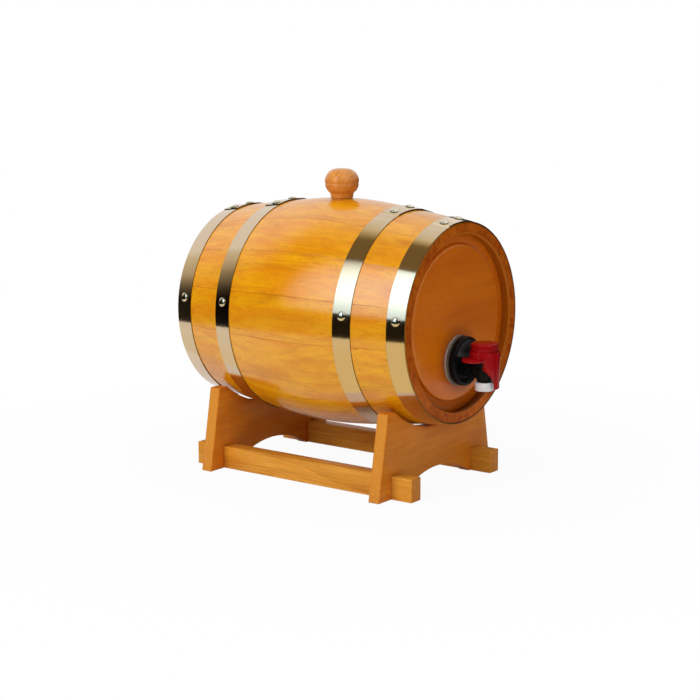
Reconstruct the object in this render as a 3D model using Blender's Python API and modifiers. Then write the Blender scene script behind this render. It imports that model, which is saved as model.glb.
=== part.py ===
"""A small wooden drink cask lying on its stand, with a push tap in the front head.

The cask lies along Y with its tap end at -Y, and the stand's feet are at Z = 0.
The origin is under the middle of the whole object. Lengths are in metres.
"""

import math

import bmesh
import bpy
from mathutils import Matrix, Vector

# Gap left between pieces that touch, and the overrun of every cutter
GAP = 0.0003
OVERRUN = 0.002

# Cask: a turned barrel of glued staves
CASK_LENGTH = 0.192
BELLY_RADIUS = 0.0778
CHIME_RADIUS = 0.067
BELLY_ROUNDING = 0.030
STAVE_COUNT = 16
STAVE_THICKNESS = 0.008
STAVE_JOINT_ANGLE = math.radians(98)
CHIME_BEVEL = 0.001
STAVE_STEPS = 3
PROFILE_SPANS = 16

# Heads: flat discs with a raised field, held in a groove of the staves
HEAD_RECESS = 0.004
HEAD_LEDGE_WIDTH = 0.0068
HEAD_BEVEL_WIDTH = 0.0028
HEAD_BEVEL_DROP = 0.0025
HEAD_THICKNESS = 0.0085
HEAD_TONGUE = 0.0045
CROZE_DEPTH = 0.002
HEAD_STEPS = 48

# Hoops: brass strips, lapped at the top and nailed
HOOP_WIDTH = 0.013
HOOP_THICKNESS = 0.0005
QUARTER_HOOP_INSET = 0.0456
END_HOOP_INSET = 0.0001
LAP_ANGLE = math.radians(3.8)
LAP_OVERHANG = math.radians(3.5)
LAP_STEPS = 4

# Nails: domed heads on short shanks, at these angles from the lap's middle
LAP_NAIL_OFFSET = math.radians(7)
SIDE_NAIL_OFFSET = math.radians(78.3)
NAIL_HEAD_RADIUS = 0.0031
NAIL_HEAD_HEIGHT = 0.0014
NAIL_SHANK_RADIUS = 0.0009
NAIL_LENGTH = 0.0045
NAIL_STEPS = 10

# Bung: a turned knob on a tapered plug
BUNG_SETBACK = 0.0035
BUNG_HEIGHT = 0.0200
BUNG_KNOB_RADIUS = 0.0118
BUNG_NECK_RADIUS = 0.0078
BUNG_PLUG_RADIUS = 0.0070
BUNG_PLUG_TIP_RADIUS = 0.0062
BUNG_PLUG_LENGTH = 0.013
BUNG_GROOVE = 0.0003
BUNG_STEPS = 32

# Stand: two cradle boards notched over two rails
CRADLE_THICKNESS = 0.0085
CRADLE_INSET = 0.024
FOOT_HALF_WIDTH = 0.068
HORN_TOP_WIDTH = 0.00868
HORN_HEIGHT = 0.0578
SEAT_HEIGHT = 0.04085
SEAT_RADIUS = 0.0785
ARCH_HALF_WIDTH = 0.041
ARCH_HEIGHT = 0.012
ARC_SPANS = 14
RAIL_THICKNESS = 0.0108
RAIL_HEIGHT = 0.0158
RAIL_CENTRE = 0.0481
RAIL_OVERHANG = 0.016
EDGE_EASING = 0.0007

# Tap gland: a collar clamped through the front head by a nut
TAP_DROP = 0.0252
GLAND_RADIUS = 0.0171
GLAND_FLANGE = 0.0033
GLAND_TUBE_RADIUS = 0.012
GLAND_BORE_RADIUS = 0.0093
GLAND_TUBE_TAIL = 0.007
GLAND_NUT_RADIUS = 0.0165
GLAND_NUT_HEIGHT = 0.005
GLAND_NUT_SIDES = 6
GLAND_STEPS = 36

# Tap body: flange, barrel and upright chamber with its nozzle
FLANGE_RADIUS = 0.0166
FLANGE_THICKNESS = 0.0048
FLANGE_ROUNDING = 0.0011
FLANGE_DISH = 0.0012
SPIGOT_LENGTH = 0.012
SPIGOT_BORE_RADIUS = 0.0058
SPOUT_REACH = 0.0128
BARREL_DROP = 0.0044
BARREL_RADIUS = 0.0060
BARREL_BORE_RADIUS = 0.0036
CHAMBER_RADIUS = 0.0062
CHAMBER_BORE_RADIUS = 0.0043
CHAMBER_TOP = 0.0020
BONNET_RADIUS = 0.0083
BONNET_THICKNESS = 0.0022
NECK_RADIUS = 0.0030
NECK_HEIGHT = 0.0028
SEAT_DROP = 0.0092
SEAT_WEB = 0.0015
SEAT_BORE_RADIUS = 0.0024
NOZZLE_RADIUS = 0.0046
NOZZLE_BORE_RADIUS = 0.0038
NOZZLE_TAPER_DROP = 0.0120
NOZZLE_DROP = 0.0155
TAP_STEPS = 32

# Wing collar: the red bonnet ring with two finger wings and a front flap
COLLAR_RADIUS = 0.0100
COLLAR_WELL_RADIUS = 0.0094
COLLAR_FLOOR = 0.0010
WING_RADIUS = 0.00786
WING_REACH = 0.00935
WING_SETBACK = 0.0026
WING_THICKNESS = 0.0018
WING_RAISE = 0.0002
FLAP_HALF_WIDTH = 0.0079
FLAP_THICKNESS = 0.0014
FLAP_SIDE_DROP = 0.0028
FLAP_POINT_DROP = 0.0113
TONGUE_HALF_WIDTH = 0.0018
TONGUE_DROP = 0.0163
RIB_HALF_WIDTH = 0.0012
RIB_PROUD = 0.0009

# Push button and the valve stem under it
BUTTON_RADIUS = 0.0091
BUTTON_WALL = 0.0012
BUTTON_TOP = 0.0022
BUTTON_HEIGHT = 0.0059
BUTTON_DIP = 0.0006
BUTTON_GROOVE = 0.0004
BUTTON_BOSS_RADIUS = 0.0028
BUTTON_BOSS_DEPTH = 0.0022
BUTTON_STROKE = 0.0040
BUTTON_SPARE = 0.0007
STEM_RADIUS = 0.0011
VALVE_RADIUS = 0.0033
VALVE_THICKNESS = 0.0012

# Ring pushed on the nozzle
RING_RADIUS = 0.0063
RING_BORE_RADIUS = 0.0049
RING_TOP_DROP = 0.0123
RING_BOTTOM_DROP = 0.0180
RING_ROUNDING = 0.0006

# Places worked out from the sizes above
HALF_CASK = CASK_LENGTH / 2
CRADLE_CENTRE = HALF_CASK - CRADLE_INSET
TAP_REACH = GLAND_FLANGE + GAP + FLANGE_THICKNESS + SPOUT_REACH + COLLAR_RADIUS + RIB_PROUD
FRONT_REACH = HALF_CASK - HEAD_RECESS + GAP + TAP_REACH
CASK_Y = (FRONT_REACH - HALF_CASK) / 2
NAIL_OFFSETS = (LAP_NAIL_OFFSET, SIDE_NAIL_OFFSET)
NAIL_ANGLES = [LAP_ANGLE + side * offset for offset in NAIL_OFFSETS for side in (1, -1)]


def stave_radius(along):
    """The cask's outer radius at a distance along its axis from its middle."""

    def bend(length):
        return math.hypot(1, length / BELLY_ROUNDING) - 1

    return BELLY_RADIUS - (BELLY_RADIUS - CHIME_RADIUS) * bend(along) / bend(HALF_CASK)


AXIS_HEIGHT = SEAT_HEIGHT + GAP + stave_radius(CRADLE_CENTRE - CRADLE_THICKNESS / 2)
TAP_HEIGHT = AXIS_HEIGHT - TAP_DROP
SPOUT_Y = CASK_Y - FRONT_REACH + COLLAR_RADIUS + RIB_PROUD
FLANGE_FRONT_Y = SPOUT_Y + SPOUT_REACH
HEAD_FACE_Y = CASK_Y - HALF_CASK + HEAD_RECESS
BUNG_SEAT = AXIS_HEIGHT + BELLY_RADIUS + GAP
BONNET_TOP = TAP_HEIGHT + CHAMBER_TOP
COLLAR_BOTTOM = BONNET_TOP + GAP
BUTTON_BOTTOM = COLLAR_BOTTOM + COLLAR_FLOOR + BUTTON_SPARE + BUTTON_STROKE
COLLAR_TOP = BUTTON_BOTTOM + BUTTON_DIP
BUTTON_CEILING = BUTTON_BOTTOM + BUTTON_HEIGHT - BUTTON_TOP
SEAT_BOTTOM = TAP_HEIGHT - SEAT_DROP


def new_collection(name):
    collection = bpy.data.collections.new(name)
    bpy.context.scene.collection.children.link(collection)
    return collection


def new_material(name, colour, roughness, metallic=0.0):
    material = bpy.data.materials.new(name)
    material.use_nodes = True
    shader = material.node_tree.nodes["Principled BSDF"]
    shader.inputs["Base Color"].default_value = (*colour, 1.0)
    shader.inputs["Roughness"].default_value = roughness
    shader.inputs["Metallic"].default_value = metallic
    material.diffuse_color = (*colour, 1.0)
    return material


for old in list(bpy.data.objects):
    bpy.data.objects.remove(old, do_unlink=True)
PARTS = new_collection("cask_dispenser")
CUTTERS = new_collection("cutters")
HONEY_WOOD = new_material("honey_lacquered_wood", (0.76, 0.33, 0.04), 0.22)
HEAD_WOOD = new_material("head_wood", (0.42, 0.13, 0.02), 0.35)
STAND_WOOD = new_material("stand_wood", (0.62, 0.25, 0.06), 0.45)
BUNG_WOOD = new_material("bung_wood", (0.58, 0.25, 0.08), 0.40)
BRASS = new_material("pale_brass", (0.78, 0.68, 0.48), 0.12, 1.0)
STEEL = new_material("nail_steel", (0.75, 0.72, 0.65), 0.20, 1.0)
BLACK_PLASTIC = new_material("black_plastic", (0.015, 0.015, 0.018), 0.35)
RED_PLASTIC = new_material("red_plastic", (0.55, 0.005, 0.015), 0.30)
GREY_PLASTIC = new_material("grey_plastic", (0.55, 0.54, 0.52), 0.35)
WHITE_PLASTIC = new_material("white_plastic", (0.85, 0.85, 0.85), 0.30)


def new_empty(name, location, rotation=(0, 0, 0)):
    empty = bpy.data.objects.new(name, None)
    empty.location = location
    empty.rotation_euler = rotation
    PARTS.objects.link(empty)
    return empty


# Local +Z of these frames points out of the front head, and local +Y points up
LYING = (math.radians(90), 0, 0)
CASK_AXIS = new_empty("cask_axis", (0, CASK_Y, AXIS_HEIGHT), LYING)
TAP_AXIS = new_empty("tap_axis", (0, HEAD_FACE_Y, TAP_HEIGHT), LYING)
SPOUT_AXIS = new_empty("spout_axis", (0, SPOUT_Y, 0))
BUNG_AXIS = new_empty("bung_axis", (0, CASK_Y + BUNG_SETBACK, BUNG_SEAT))


def add_piece(name, mesh, material, parent=None):
    """A finished mesh as a named part of the object."""
    piece = bpy.data.objects.new(name, mesh)
    piece.parent = parent
    PARTS.objects.link(piece)
    if material is not None:
        mesh.materials.append(material)
    return piece


def add_cutter(name, mesh, parent=None):
    """A helper that other pieces are cut with or joined to."""
    cutter = bpy.data.objects.new(name, mesh)
    cutter.parent = parent
    cutter.hide_render = True
    cutter.display_type = "WIRE"
    CUTTERS.objects.link(cutter)
    return cutter


def combine(piece, other, operation="DIFFERENCE"):
    modifier = piece.modifiers.new(f"{operation.lower()}_{other.name}", "BOOLEAN")
    modifier.operation = operation
    modifier.object = other
    modifier.solver = "EXACT"


def smooth(mesh, sharp_angle=math.radians(35)):
    mesh.shade_smooth()
    mesh.set_sharp_from_angle(angle=sharp_angle)


def swept_mesh(name, outline, start, sweep, steps):
    """A closed outline of (radius, height) points swept about Z through part of a turn."""
    mesh = bpy.data.meshes.new(name)
    shape = bmesh.new()
    corners = [shape.verts.new((radius, 0, height)) for radius, height in outline]
    section = shape.faces.new(corners)
    whole = [section, *section.edges, *section.verts]
    bmesh.ops.rotate(shape, verts=shape.verts, cent=(0, 0, 0), matrix=Matrix.Rotation(start, 3, "Z"))
    copy = bmesh.ops.duplicate(shape, geom=whole)
    moving = [item for item in copy["geom"]]
    bmesh.ops.spin(shape, geom=moving, cent=(0, 0, 0), axis=(0, 0, 1), angle=sweep, steps=steps)
    bmesh.ops.remove_doubles(shape, verts=shape.verts, dist=GAP / 100)
    bmesh.ops.recalc_face_normals(shape, faces=shape.faces)
    shape.to_mesh(mesh)
    shape.free()
    smooth(mesh)
    return mesh


def turn(piece, steps):
    """Turns the profile about Z into a closed solid."""
    screw = piece.modifiers.new("turning", "SCREW")
    screw.axis = "Z"
    screw.steps = steps
    screw.render_steps = steps
    screw.use_merge_vertices = True
    screw.merge_threshold = GAP / 10
    screw.use_smooth_shade = True
    return piece


def profile_mesh(name, points, closed):
    """A line of (radius, height) points at +X, running down its outer side."""
    mesh = bpy.data.meshes.new(name)
    edges = [(index, index + 1) for index in range(len(points) - 1)]
    if closed:
        edges.append((len(points) - 1, 0))
    mesh.from_pydata([(radius, 0, height) for radius, height in points], edges, [])
    return mesh


def turned_piece(name, points, steps, material, parent, closed=False):
    return turn(add_piece(name, profile_mesh(name, points, closed), material, parent), steps)


def turned_cutter(name, points, steps, parent, closed=False):
    return turn(add_cutter(name, profile_mesh(name, points, closed), parent), steps)


def rod_cutter(name, radius, low, high, steps, parent):
    """A plain round cutter from one height to another on its frame's axis."""
    return turned_cutter(name, [(0, high), (radius, high), (radius, low), (0, low)], steps, parent)


def outline_piece(name, points, thickness, material):
    """A flat board: an outline in X and Z, given its thickness along Y and eased edges."""
    curve = bpy.data.curves.new(name, "CURVE")
    curve.dimensions = "2D"
    curve.fill_mode = "BOTH"
    curve.extrude = thickness / 2
    spline = curve.splines.new("POLY")
    spline.points.add(len(points) - 1)
    for point, (across, up) in zip(spline.points, points):
        point.co = (across, up, 0, 1)
    spline.use_cyclic_u = True
    board = bpy.data.objects.new(name, curve)
    board.rotation_euler = LYING
    PARTS.objects.link(board)
    curve.materials.append(material)
    weld = board.modifiers.new("weld", "WELD")
    weld.merge_threshold = GAP / 10
    ease_edges(board)
    return board


def ease_edges(piece):
    bevel = piece.modifiers.new("eased_edges", "BEVEL")
    bevel.width = EDGE_EASING
    bevel.segments = 1
    bevel.limit_method = "ANGLE"
    bevel.angle_limit = math.radians(40)


def box_mesh(name, size, centre=(0, 0, 0)):
    mesh = bpy.data.meshes.new(name)
    shape = bmesh.new()
    bmesh.ops.create_cube(shape, size=1)
    bmesh.ops.scale(shape, vec=Vector(size), verts=shape.verts)
    bmesh.ops.translate(shape, vec=Vector(centre), verts=shape.verts)
    shape.to_mesh(mesh)
    shape.free()
    return mesh


def around(angle):
    """The cask frame's turn for an angle from the top towards -X."""
    return angle + math.radians(90)


# Staves, and the grooves that hold the heads

TONGUE_DEPTH = HEAD_RECESS + HEAD_BEVEL_DROP
CROZE_NEAR = HALF_CASK - TONGUE_DEPTH + GAP
CROZE_FAR = HALF_CASK - TONGUE_DEPTH - HEAD_TONGUE - GAP


def inner_radius(along):
    return stave_radius(along) - STAVE_THICKNESS


CROZE_RADIUS = inner_radius(HALF_CASK - TONGUE_DEPTH) + CROZE_DEPTH


def stave_outline():
    """A stave's section along the cask: the outside, the bevelled chimes, the grooves and the inside."""
    outside = [HALF_CASK - CASK_LENGTH * step / PROFILE_SPANS for step in range(PROFILE_SPANS + 1)]
    points = [(stave_radius(along), along) for along in outside]
    half_inside = [
        (CHIME_RADIUS - STAVE_THICKNESS + CHIME_BEVEL, HALF_CASK),
        (inner_radius(HALF_CASK - CHIME_BEVEL), HALF_CASK - CHIME_BEVEL),
        (inner_radius(CROZE_NEAR), CROZE_NEAR),
        (CROZE_RADIUS, CROZE_NEAR),
        (CROZE_RADIUS, CROZE_FAR),
        (inner_radius(CROZE_FAR), CROZE_FAR),
    ]
    spans = PROFILE_SPANS // 2
    middle = [CROZE_FAR - 2 * CROZE_FAR * step / spans for step in range(1, spans)]
    points += [(radius, -along) for radius, along in half_inside]
    points += [(inner_radius(along), -along) for along in middle]
    points += [(radius, along) for radius, along in reversed(half_inside)]
    return points


def stave_starts():
    pitch = math.radians(360) / STAVE_COUNT
    return [STAVE_JOINT_ANGLE + pitch * index for index in range(STAVE_COUNT)]


def wrapped(angle):
    return (angle + math.pi) % (2 * math.pi) - math.pi


def holds(start, angle):
    """Whether the stave that starts at one angle carries a place at another."""
    return wrapped(angle - start) % (2 * math.pi) < math.radians(360) / STAVE_COUNT


def hoop_centres():
    """The hoops' places along the cask frame, front ones first."""
    end_centre = HALF_CASK - END_HOOP_INSET - HOOP_WIDTH / 2
    quarter_centre = HALF_CASK - QUARTER_HOOP_INSET
    return {
        "front_end_hoop": end_centre,
        "front_quarter_hoop": quarter_centre,
        "rear_quarter_hoop": -quarter_centre,
        "rear_end_hoop": -end_centre,
    }


def hoop_seat(along):
    """The inner radius of a hoop at a distance along the cask."""
    return stave_radius(along) + GAP


def hoop_slope(centre):
    """How the cask's surface tilts under a hoop, in radians."""
    rise = stave_radius(centre + HOOP_WIDTH / 2) - stave_radius(centre - HOOP_WIDTH / 2)
    return math.atan2(rise, HOOP_WIDTH)


def nail_place(centre, angle):
    """The seat of a nail's head: its place and turn in the cask frame."""
    layers = 2 if abs(wrapped(angle - LAP_ANGLE)) < LAP_NAIL_OFFSET + LAP_OVERHANG else 1
    radius = hoop_seat(centre) + layers * HOOP_THICKNESS + GAP
    outward = Matrix.Rotation(around(angle), 4, "Z")
    tilt = Matrix.Rotation(math.radians(90) + hoop_slope(centre), 4, "Y")
    return outward @ Matrix.Translation((radius, 0, centre)) @ tilt


def nail_hole_cutter():
    """One mesh of all the nail holes, for the hoops and the staves under them."""
    mesh = bpy.data.meshes.new("nail_holes")
    shape = bmesh.new()
    deep = NAIL_LENGTH + 2 * GAP
    for centre in hoop_centres().values():
        for angle in NAIL_ANGLES:
            place = nail_place(centre, angle)
            shift = Matrix.Translation((0, 0, (NAIL_HEAD_HEIGHT - deep) / 2))
            bmesh.ops.create_cone(
                shape,
                cap_ends=True,
                segments=NAIL_STEPS,
                radius1=NAIL_SHANK_RADIUS + GAP,
                radius2=NAIL_SHANK_RADIUS + GAP,
                depth=deep + NAIL_HEAD_HEIGHT,
                matrix=place @ shift,
            )
    shape.to_mesh(mesh)
    shape.free()
    return add_cutter("nail_holes", mesh, CASK_AXIS)


NAIL_HOLES = nail_hole_cutter()
BUNG_HOLE = rod_cutter(
    "bung_hole",
    BUNG_PLUG_RADIUS + GAP,
    -(GAP + STAVE_THICKNESS + BELLY_RADIUS / 4),
    BUNG_HEIGHT,
    BUNG_STEPS,
    BUNG_AXIS,
)


def make_staves():
    joint = GAP / BELLY_RADIUS
    sweep = math.radians(360) / STAVE_COUNT - joint
    for index, start in enumerate(stave_starts()):
        name = f"stave_{index + 1:02d}"
        mesh = swept_mesh(name, stave_outline(), around(start + joint / 2), sweep, STAVE_STEPS)
        stave = add_piece(name, mesh, HONEY_WOOD, CASK_AXIS)
        if any(holds(start, angle) for angle in NAIL_ANGLES):
            combine(stave, NAIL_HOLES)
        if holds(start, 0.0):
            combine(stave, BUNG_HOLE)


def head_profile():
    """A head's section, its raised face towards local +Z at height zero."""
    tongue_radius = CROZE_RADIUS - GAP
    wall_radius = inner_radius(HALF_CASK - TONGUE_DEPTH) - GAP
    bevel_foot = wall_radius - HEAD_LEDGE_WIDTH
    return [
        (0, 0),
        (bevel_foot - HEAD_BEVEL_WIDTH, 0),
        (bevel_foot, -HEAD_BEVEL_DROP),
        (tongue_radius, -HEAD_BEVEL_DROP),
        (tongue_radius, -HEAD_BEVEL_DROP - HEAD_TONGUE),
        (wall_radius, -HEAD_BEVEL_DROP - HEAD_TONGUE),
        (wall_radius - HEAD_TONGUE, -HEAD_THICKNESS),
        (0, -HEAD_THICKNESS),
    ]


def make_heads():
    face = HALF_CASK - HEAD_RECESS
    front = turned_piece("front_head", head_profile(), HEAD_STEPS, HEAD_WOOD, CASK_AXIS)
    front.location = (0, 0, face)
    back = turned_piece("rear_head", head_profile(), HEAD_STEPS, HEAD_WOOD, CASK_AXIS)
    back.location = (0, 0, -face)
    back.rotation_euler = (math.radians(180), 0, 0)
    hole = rod_cutter(
        "gland_hole",
        GLAND_TUBE_RADIUS + GAP,
        -HEAD_THICKNESS - OVERRUN,
        OVERRUN,
        GLAND_STEPS,
        TAP_AXIS,
    )
    combine(front, hole)


def make_hoops():
    """Each hoop is a band with a second layer where its strip's ends lap at the top."""
    steps = STAVE_STEPS * STAVE_COUNT
    lap_half = LAP_NAIL_OFFSET + LAP_OVERHANG
    for name, centre in hoop_centres().items():
        low, high = centre - HOOP_WIDTH / 2, centre + HOOP_WIDTH / 2
        seat_low, seat_high = hoop_seat(low), hoop_seat(high)
        band = [
            (seat_high + HOOP_THICKNESS, high),
            (seat_low + HOOP_THICKNESS, low),
            (seat_low, low),
            (seat_high, high),
        ]
        hoop = turned_piece(name, band, steps, BRASS, CASK_AXIS, closed=True)
        hoop.rotation_euler = (0, 0, around(STAVE_JOINT_ANGLE))
        lap = [
            (seat_high + 2 * HOOP_THICKNESS, high - GAP),
            (seat_low + 2 * HOOP_THICKNESS, low + GAP),
            (seat_low + HOOP_THICKNESS / 2, low + GAP),
            (seat_high + HOOP_THICKNESS / 2, high - GAP),
        ]
        start = around(LAP_ANGLE - lap_half)
        lap_mesh = swept_mesh(f"{name}_lap", lap, start, 2 * lap_half, LAP_STEPS)
        combine(hoop, add_cutter(f"{name}_lap", lap_mesh, CASK_AXIS), "UNION")
        combine(hoop, NAIL_HOLES)


def nail_profile():
    """A dome over a flat seat at height zero, and the shank below it."""
    dome_angles = [math.radians(90) * step / 3 for step in range(1, 3)]
    dome = [
        (NAIL_HEAD_RADIUS * math.sin(angle), NAIL_HEAD_HEIGHT * math.cos(angle)) for angle in dome_angles
    ]
    return [
        (0, NAIL_HEAD_HEIGHT),
        *dome,
        (NAIL_HEAD_RADIUS, 0),
        (NAIL_SHANK_RADIUS, 0),
        (NAIL_SHANK_RADIUS, -NAIL_LENGTH),
        (0, -NAIL_LENGTH),
    ]


def make_nails():
    for name, centre in hoop_centres().items():
        for index, angle in enumerate(NAIL_ANGLES):
            nail_name = f"{name.removesuffix('_hoop')}_nail_{index + 1}"
            nail = turned_piece(nail_name, nail_profile(), NAIL_STEPS, STEEL, CASK_AXIS)
            nail.matrix_local = nail_place(centre, angle)


def bung_profile():
    """The knob's turned outline over its seat, and the tapered plug below it."""
    knob_shares = [(0.42, 0.98), (0.68, 0.915), (0.87, 0.81), (0.97, 0.70), (1.0, 0.61), (1.0, 0.51)]
    groove_share, waist_top_share = 0.495, 0.48
    waist_shares = [(0.92, 0.41), (0.64, 0.28), (0.28, 0.185), (0.03, 0.12), (0.0, 0.06)]
    swell = BUNG_KNOB_RADIUS - BUNG_NECK_RADIUS
    knob = [(BUNG_KNOB_RADIUS * out, BUNG_HEIGHT * up) for out, up in knob_shares]
    waist = [(BUNG_NECK_RADIUS + swell * out, BUNG_HEIGHT * up) for out, up in waist_shares]
    return [
        (0, BUNG_HEIGHT),
        *knob,
        (BUNG_KNOB_RADIUS - BUNG_GROOVE, BUNG_HEIGHT * groove_share),
        (BUNG_KNOB_RADIUS, BUNG_HEIGHT * waist_top_share),
        *waist,
        (BUNG_NECK_RADIUS, 0),
        (BUNG_PLUG_RADIUS, 0),
        (BUNG_PLUG_TIP_RADIUS, -BUNG_PLUG_LENGTH),
        (0, -BUNG_PLUG_LENGTH),
    ]


def arc_points(half_width, height, radius, sign, spans):
    """Points of a shallow arc over the middle, left to right: its crown or hollow is at height."""
    centre = height - sign * radius
    reach = math.asin(half_width / radius)
    angles = [-reach + 2 * reach * step / spans for step in range(spans + 1)]
    return [(radius * math.sin(angle), centre + sign * radius * math.cos(angle)) for angle in angles]


def seat_half_width():
    """Where the seat's hollow reaches the flat top of the horns."""
    drop = SEAT_HEIGHT + SEAT_RADIUS - HORN_HEIGHT
    return math.sqrt(SEAT_RADIUS**2 - drop**2)


def cradle_outline():
    arch_radius = (ARCH_HALF_WIDTH**2 + ARCH_HEIGHT**2) / (2 * ARCH_HEIGHT)
    notch_inner = RAIL_CENTRE - RAIL_THICKNESS / 2 - GAP
    notch_outer = RAIL_CENTRE + RAIL_THICKNESS / 2 + GAP
    notch_top = RAIL_HEIGHT + GAP
    right_foot = [
        (notch_inner, 0),
        (notch_inner, notch_top),
        (notch_outer, notch_top),
        (notch_outer, 0),
        (FOOT_HALF_WIDTH, 0),
    ]
    left_foot = [(-across, up) for across, up in reversed(right_foot)]
    arch = arc_points(ARCH_HALF_WIDTH, ARCH_HEIGHT, arch_radius, 1, ARC_SPANS)
    seat = arc_points(seat_half_width(), SEAT_HEIGHT, SEAT_RADIUS, -1, ARC_SPANS)
    horn_half_width = seat_half_width() + HORN_TOP_WIDTH
    horns = [(horn_half_width, HORN_HEIGHT), *reversed(seat), (-horn_half_width, HORN_HEIGHT)]
    return [*arch, *right_foot, *horns, *left_foot]


def make_stand():
    for name, side in (("front_cradle", -1), ("rear_cradle", 1)):
        board = outline_piece(name, cradle_outline(), CRADLE_THICKNESS, STAND_WOOD)
        board.location = (0, CASK_Y + side * CRADLE_CENTRE, 0)
    rail_length = 2 * (CRADLE_CENTRE + CRADLE_THICKNESS / 2 + RAIL_OVERHANG)
    for name, side in (("left_rail", -1), ("right_rail", 1)):
        size = (RAIL_THICKNESS, rail_length, RAIL_HEIGHT)
        rail = add_piece(name, box_mesh(name, size), STAND_WOOD)
        rail.location = (side * RAIL_CENTRE, CASK_Y, RAIL_HEIGHT / 2)
        ease_edges(rail)


def make_bung():
    turned_piece("bung", bung_profile(), BUNG_STEPS, BUNG_WOOD, BUNG_AXIS)


# The gland's flange sits on the head, and its tube passes through to the nut
GLAND_FRONT = GAP + GLAND_FLANGE
GLAND_TAIL = -HEAD_THICKNESS - GLAND_TUBE_TAIL


def make_gland():
    profile = [
        (GLAND_BORE_RADIUS, GLAND_FRONT),
        (GLAND_RADIUS - FLANGE_ROUNDING, GLAND_FRONT),
        (GLAND_RADIUS, GLAND_FRONT - FLANGE_ROUNDING),
        (GLAND_RADIUS, GAP),
        (GLAND_TUBE_RADIUS, GAP),
        (GLAND_TUBE_RADIUS, GLAND_TAIL),
        (GLAND_BORE_RADIUS, GLAND_TAIL),
    ]
    turned_piece("tap_gland", profile, GLAND_STEPS, GREY_PLASTIC, TAP_AXIS, closed=True)
    nut_face = -HEAD_THICKNESS - GAP
    nut_tail = nut_face - GLAND_NUT_HEIGHT
    nut = [(0, nut_face), (GLAND_NUT_RADIUS, nut_face), (GLAND_NUT_RADIUS, nut_tail), (0, nut_tail)]
    gland_nut = turned_piece("gland_nut", nut, GLAND_NUT_SIDES, GREY_PLASTIC, TAP_AXIS)
    bore_radius = GLAND_TUBE_RADIUS + GAP
    bore = rod_cutter("nut_bore", bore_radius, nut_tail - OVERRUN, nut_face + OVERRUN, GLAND_STEPS, TAP_AXIS)
    combine(gland_nut, bore)


def make_tap_body():
    """Flange and spigot, joined to the barrel and the upright chamber, then bored."""
    back = GLAND_FRONT + GAP
    front = back + FLANGE_THICKNESS
    spigot_radius = GLAND_BORE_RADIUS - GAP
    profile = [
        (0, front - FLANGE_DISH),
        (FLANGE_RADIUS - 3 * FLANGE_ROUNDING, front - FLANGE_DISH),
        (FLANGE_RADIUS - 2 * FLANGE_ROUNDING, front),
        (FLANGE_RADIUS - FLANGE_ROUNDING, front),
        (FLANGE_RADIUS, front - FLANGE_ROUNDING),
        (FLANGE_RADIUS, back + FLANGE_ROUNDING),
        (FLANGE_RADIUS - FLANGE_ROUNDING, back),
        (spigot_radius, back),
        (spigot_radius, back - SPIGOT_LENGTH),
        (0, back - SPIGOT_LENGTH),
    ]
    body = turned_piece("tap_body", profile, GLAND_STEPS, BLACK_PLASTIC, TAP_AXIS)
    root = back + FLANGE_ROUNDING
    barrel = rod_cutter("tap_barrel", BARREL_RADIUS, root, front + SPOUT_REACH, TAP_STEPS, TAP_AXIS)
    barrel.location = (0, -BARREL_DROP, 0)
    combine(body, barrel, "UNION")
    nozzle_low = TAP_HEIGHT - NOZZLE_DROP
    chamber = [
        (0, BONNET_TOP + NECK_HEIGHT),
        (NECK_RADIUS, BONNET_TOP + NECK_HEIGHT),
        (NECK_RADIUS, BONNET_TOP),
        (BONNET_RADIUS, BONNET_TOP),
        (BONNET_RADIUS, BONNET_TOP - BONNET_THICKNESS),
        (CHAMBER_RADIUS, BONNET_TOP - 2 * BONNET_THICKNESS),
        (CHAMBER_RADIUS, SEAT_BOTTOM),
        (NOZZLE_RADIUS, TAP_HEIGHT - NOZZLE_TAPER_DROP),
        (NOZZLE_RADIUS, nozzle_low),
        (0, nozzle_low),
    ]
    combine(body, turned_cutter("tap_chamber", chamber, TAP_STEPS, SPOUT_AXIS), "UNION")
    seat_top = SEAT_BOTTOM + SEAT_WEB
    spigot_bore = rod_cutter(
        "spigot_bore",
        SPIGOT_BORE_RADIUS,
        back - SPIGOT_LENGTH - OVERRUN,
        front - 2 * FLANGE_DISH,
        TAP_STEPS,
        TAP_AXIS,
    )
    combine(body, spigot_bore)
    barrel_bore = rod_cutter(
        "barrel_bore",
        BARREL_BORE_RADIUS,
        back,
        front + SPOUT_REACH,
        TAP_STEPS // 2,
        TAP_AXIS,
    )
    barrel_bore.location = (0, -BARREL_DROP, 0)
    combine(body, barrel_bore)
    bore_top = BONNET_TOP - BONNET_THICKNESS / 2
    water_way = [
        (0, BONNET_TOP + NECK_HEIGHT + OVERRUN),
        (STEM_RADIUS + GAP, BONNET_TOP + NECK_HEIGHT + OVERRUN),
        (STEM_RADIUS + GAP, bore_top),
        (CHAMBER_BORE_RADIUS, bore_top),
        (CHAMBER_BORE_RADIUS, seat_top),
        (SEAT_BORE_RADIUS, seat_top),
        (SEAT_BORE_RADIUS, SEAT_BOTTOM),
        (NOZZLE_BORE_RADIUS, SEAT_BOTTOM),
        (NOZZLE_BORE_RADIUS, nozzle_low - OVERRUN),
        (0, nozzle_low - OVERRUN),
    ]
    combine(body, turned_cutter("water_way", water_way, TAP_STEPS, SPOUT_AXIS))


def wing_cutter(name, side):
    """A round finger wing, level, beside the collar and a little behind its axis."""
    low = COLLAR_BOTTOM + WING_RAISE
    wing = rod_cutter(name, WING_RADIUS, low, low + WING_THICKNESS, TAP_STEPS, SPOUT_AXIS)
    wing.location = (side * WING_REACH, WING_SETBACK, 0)
    return wing


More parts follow.
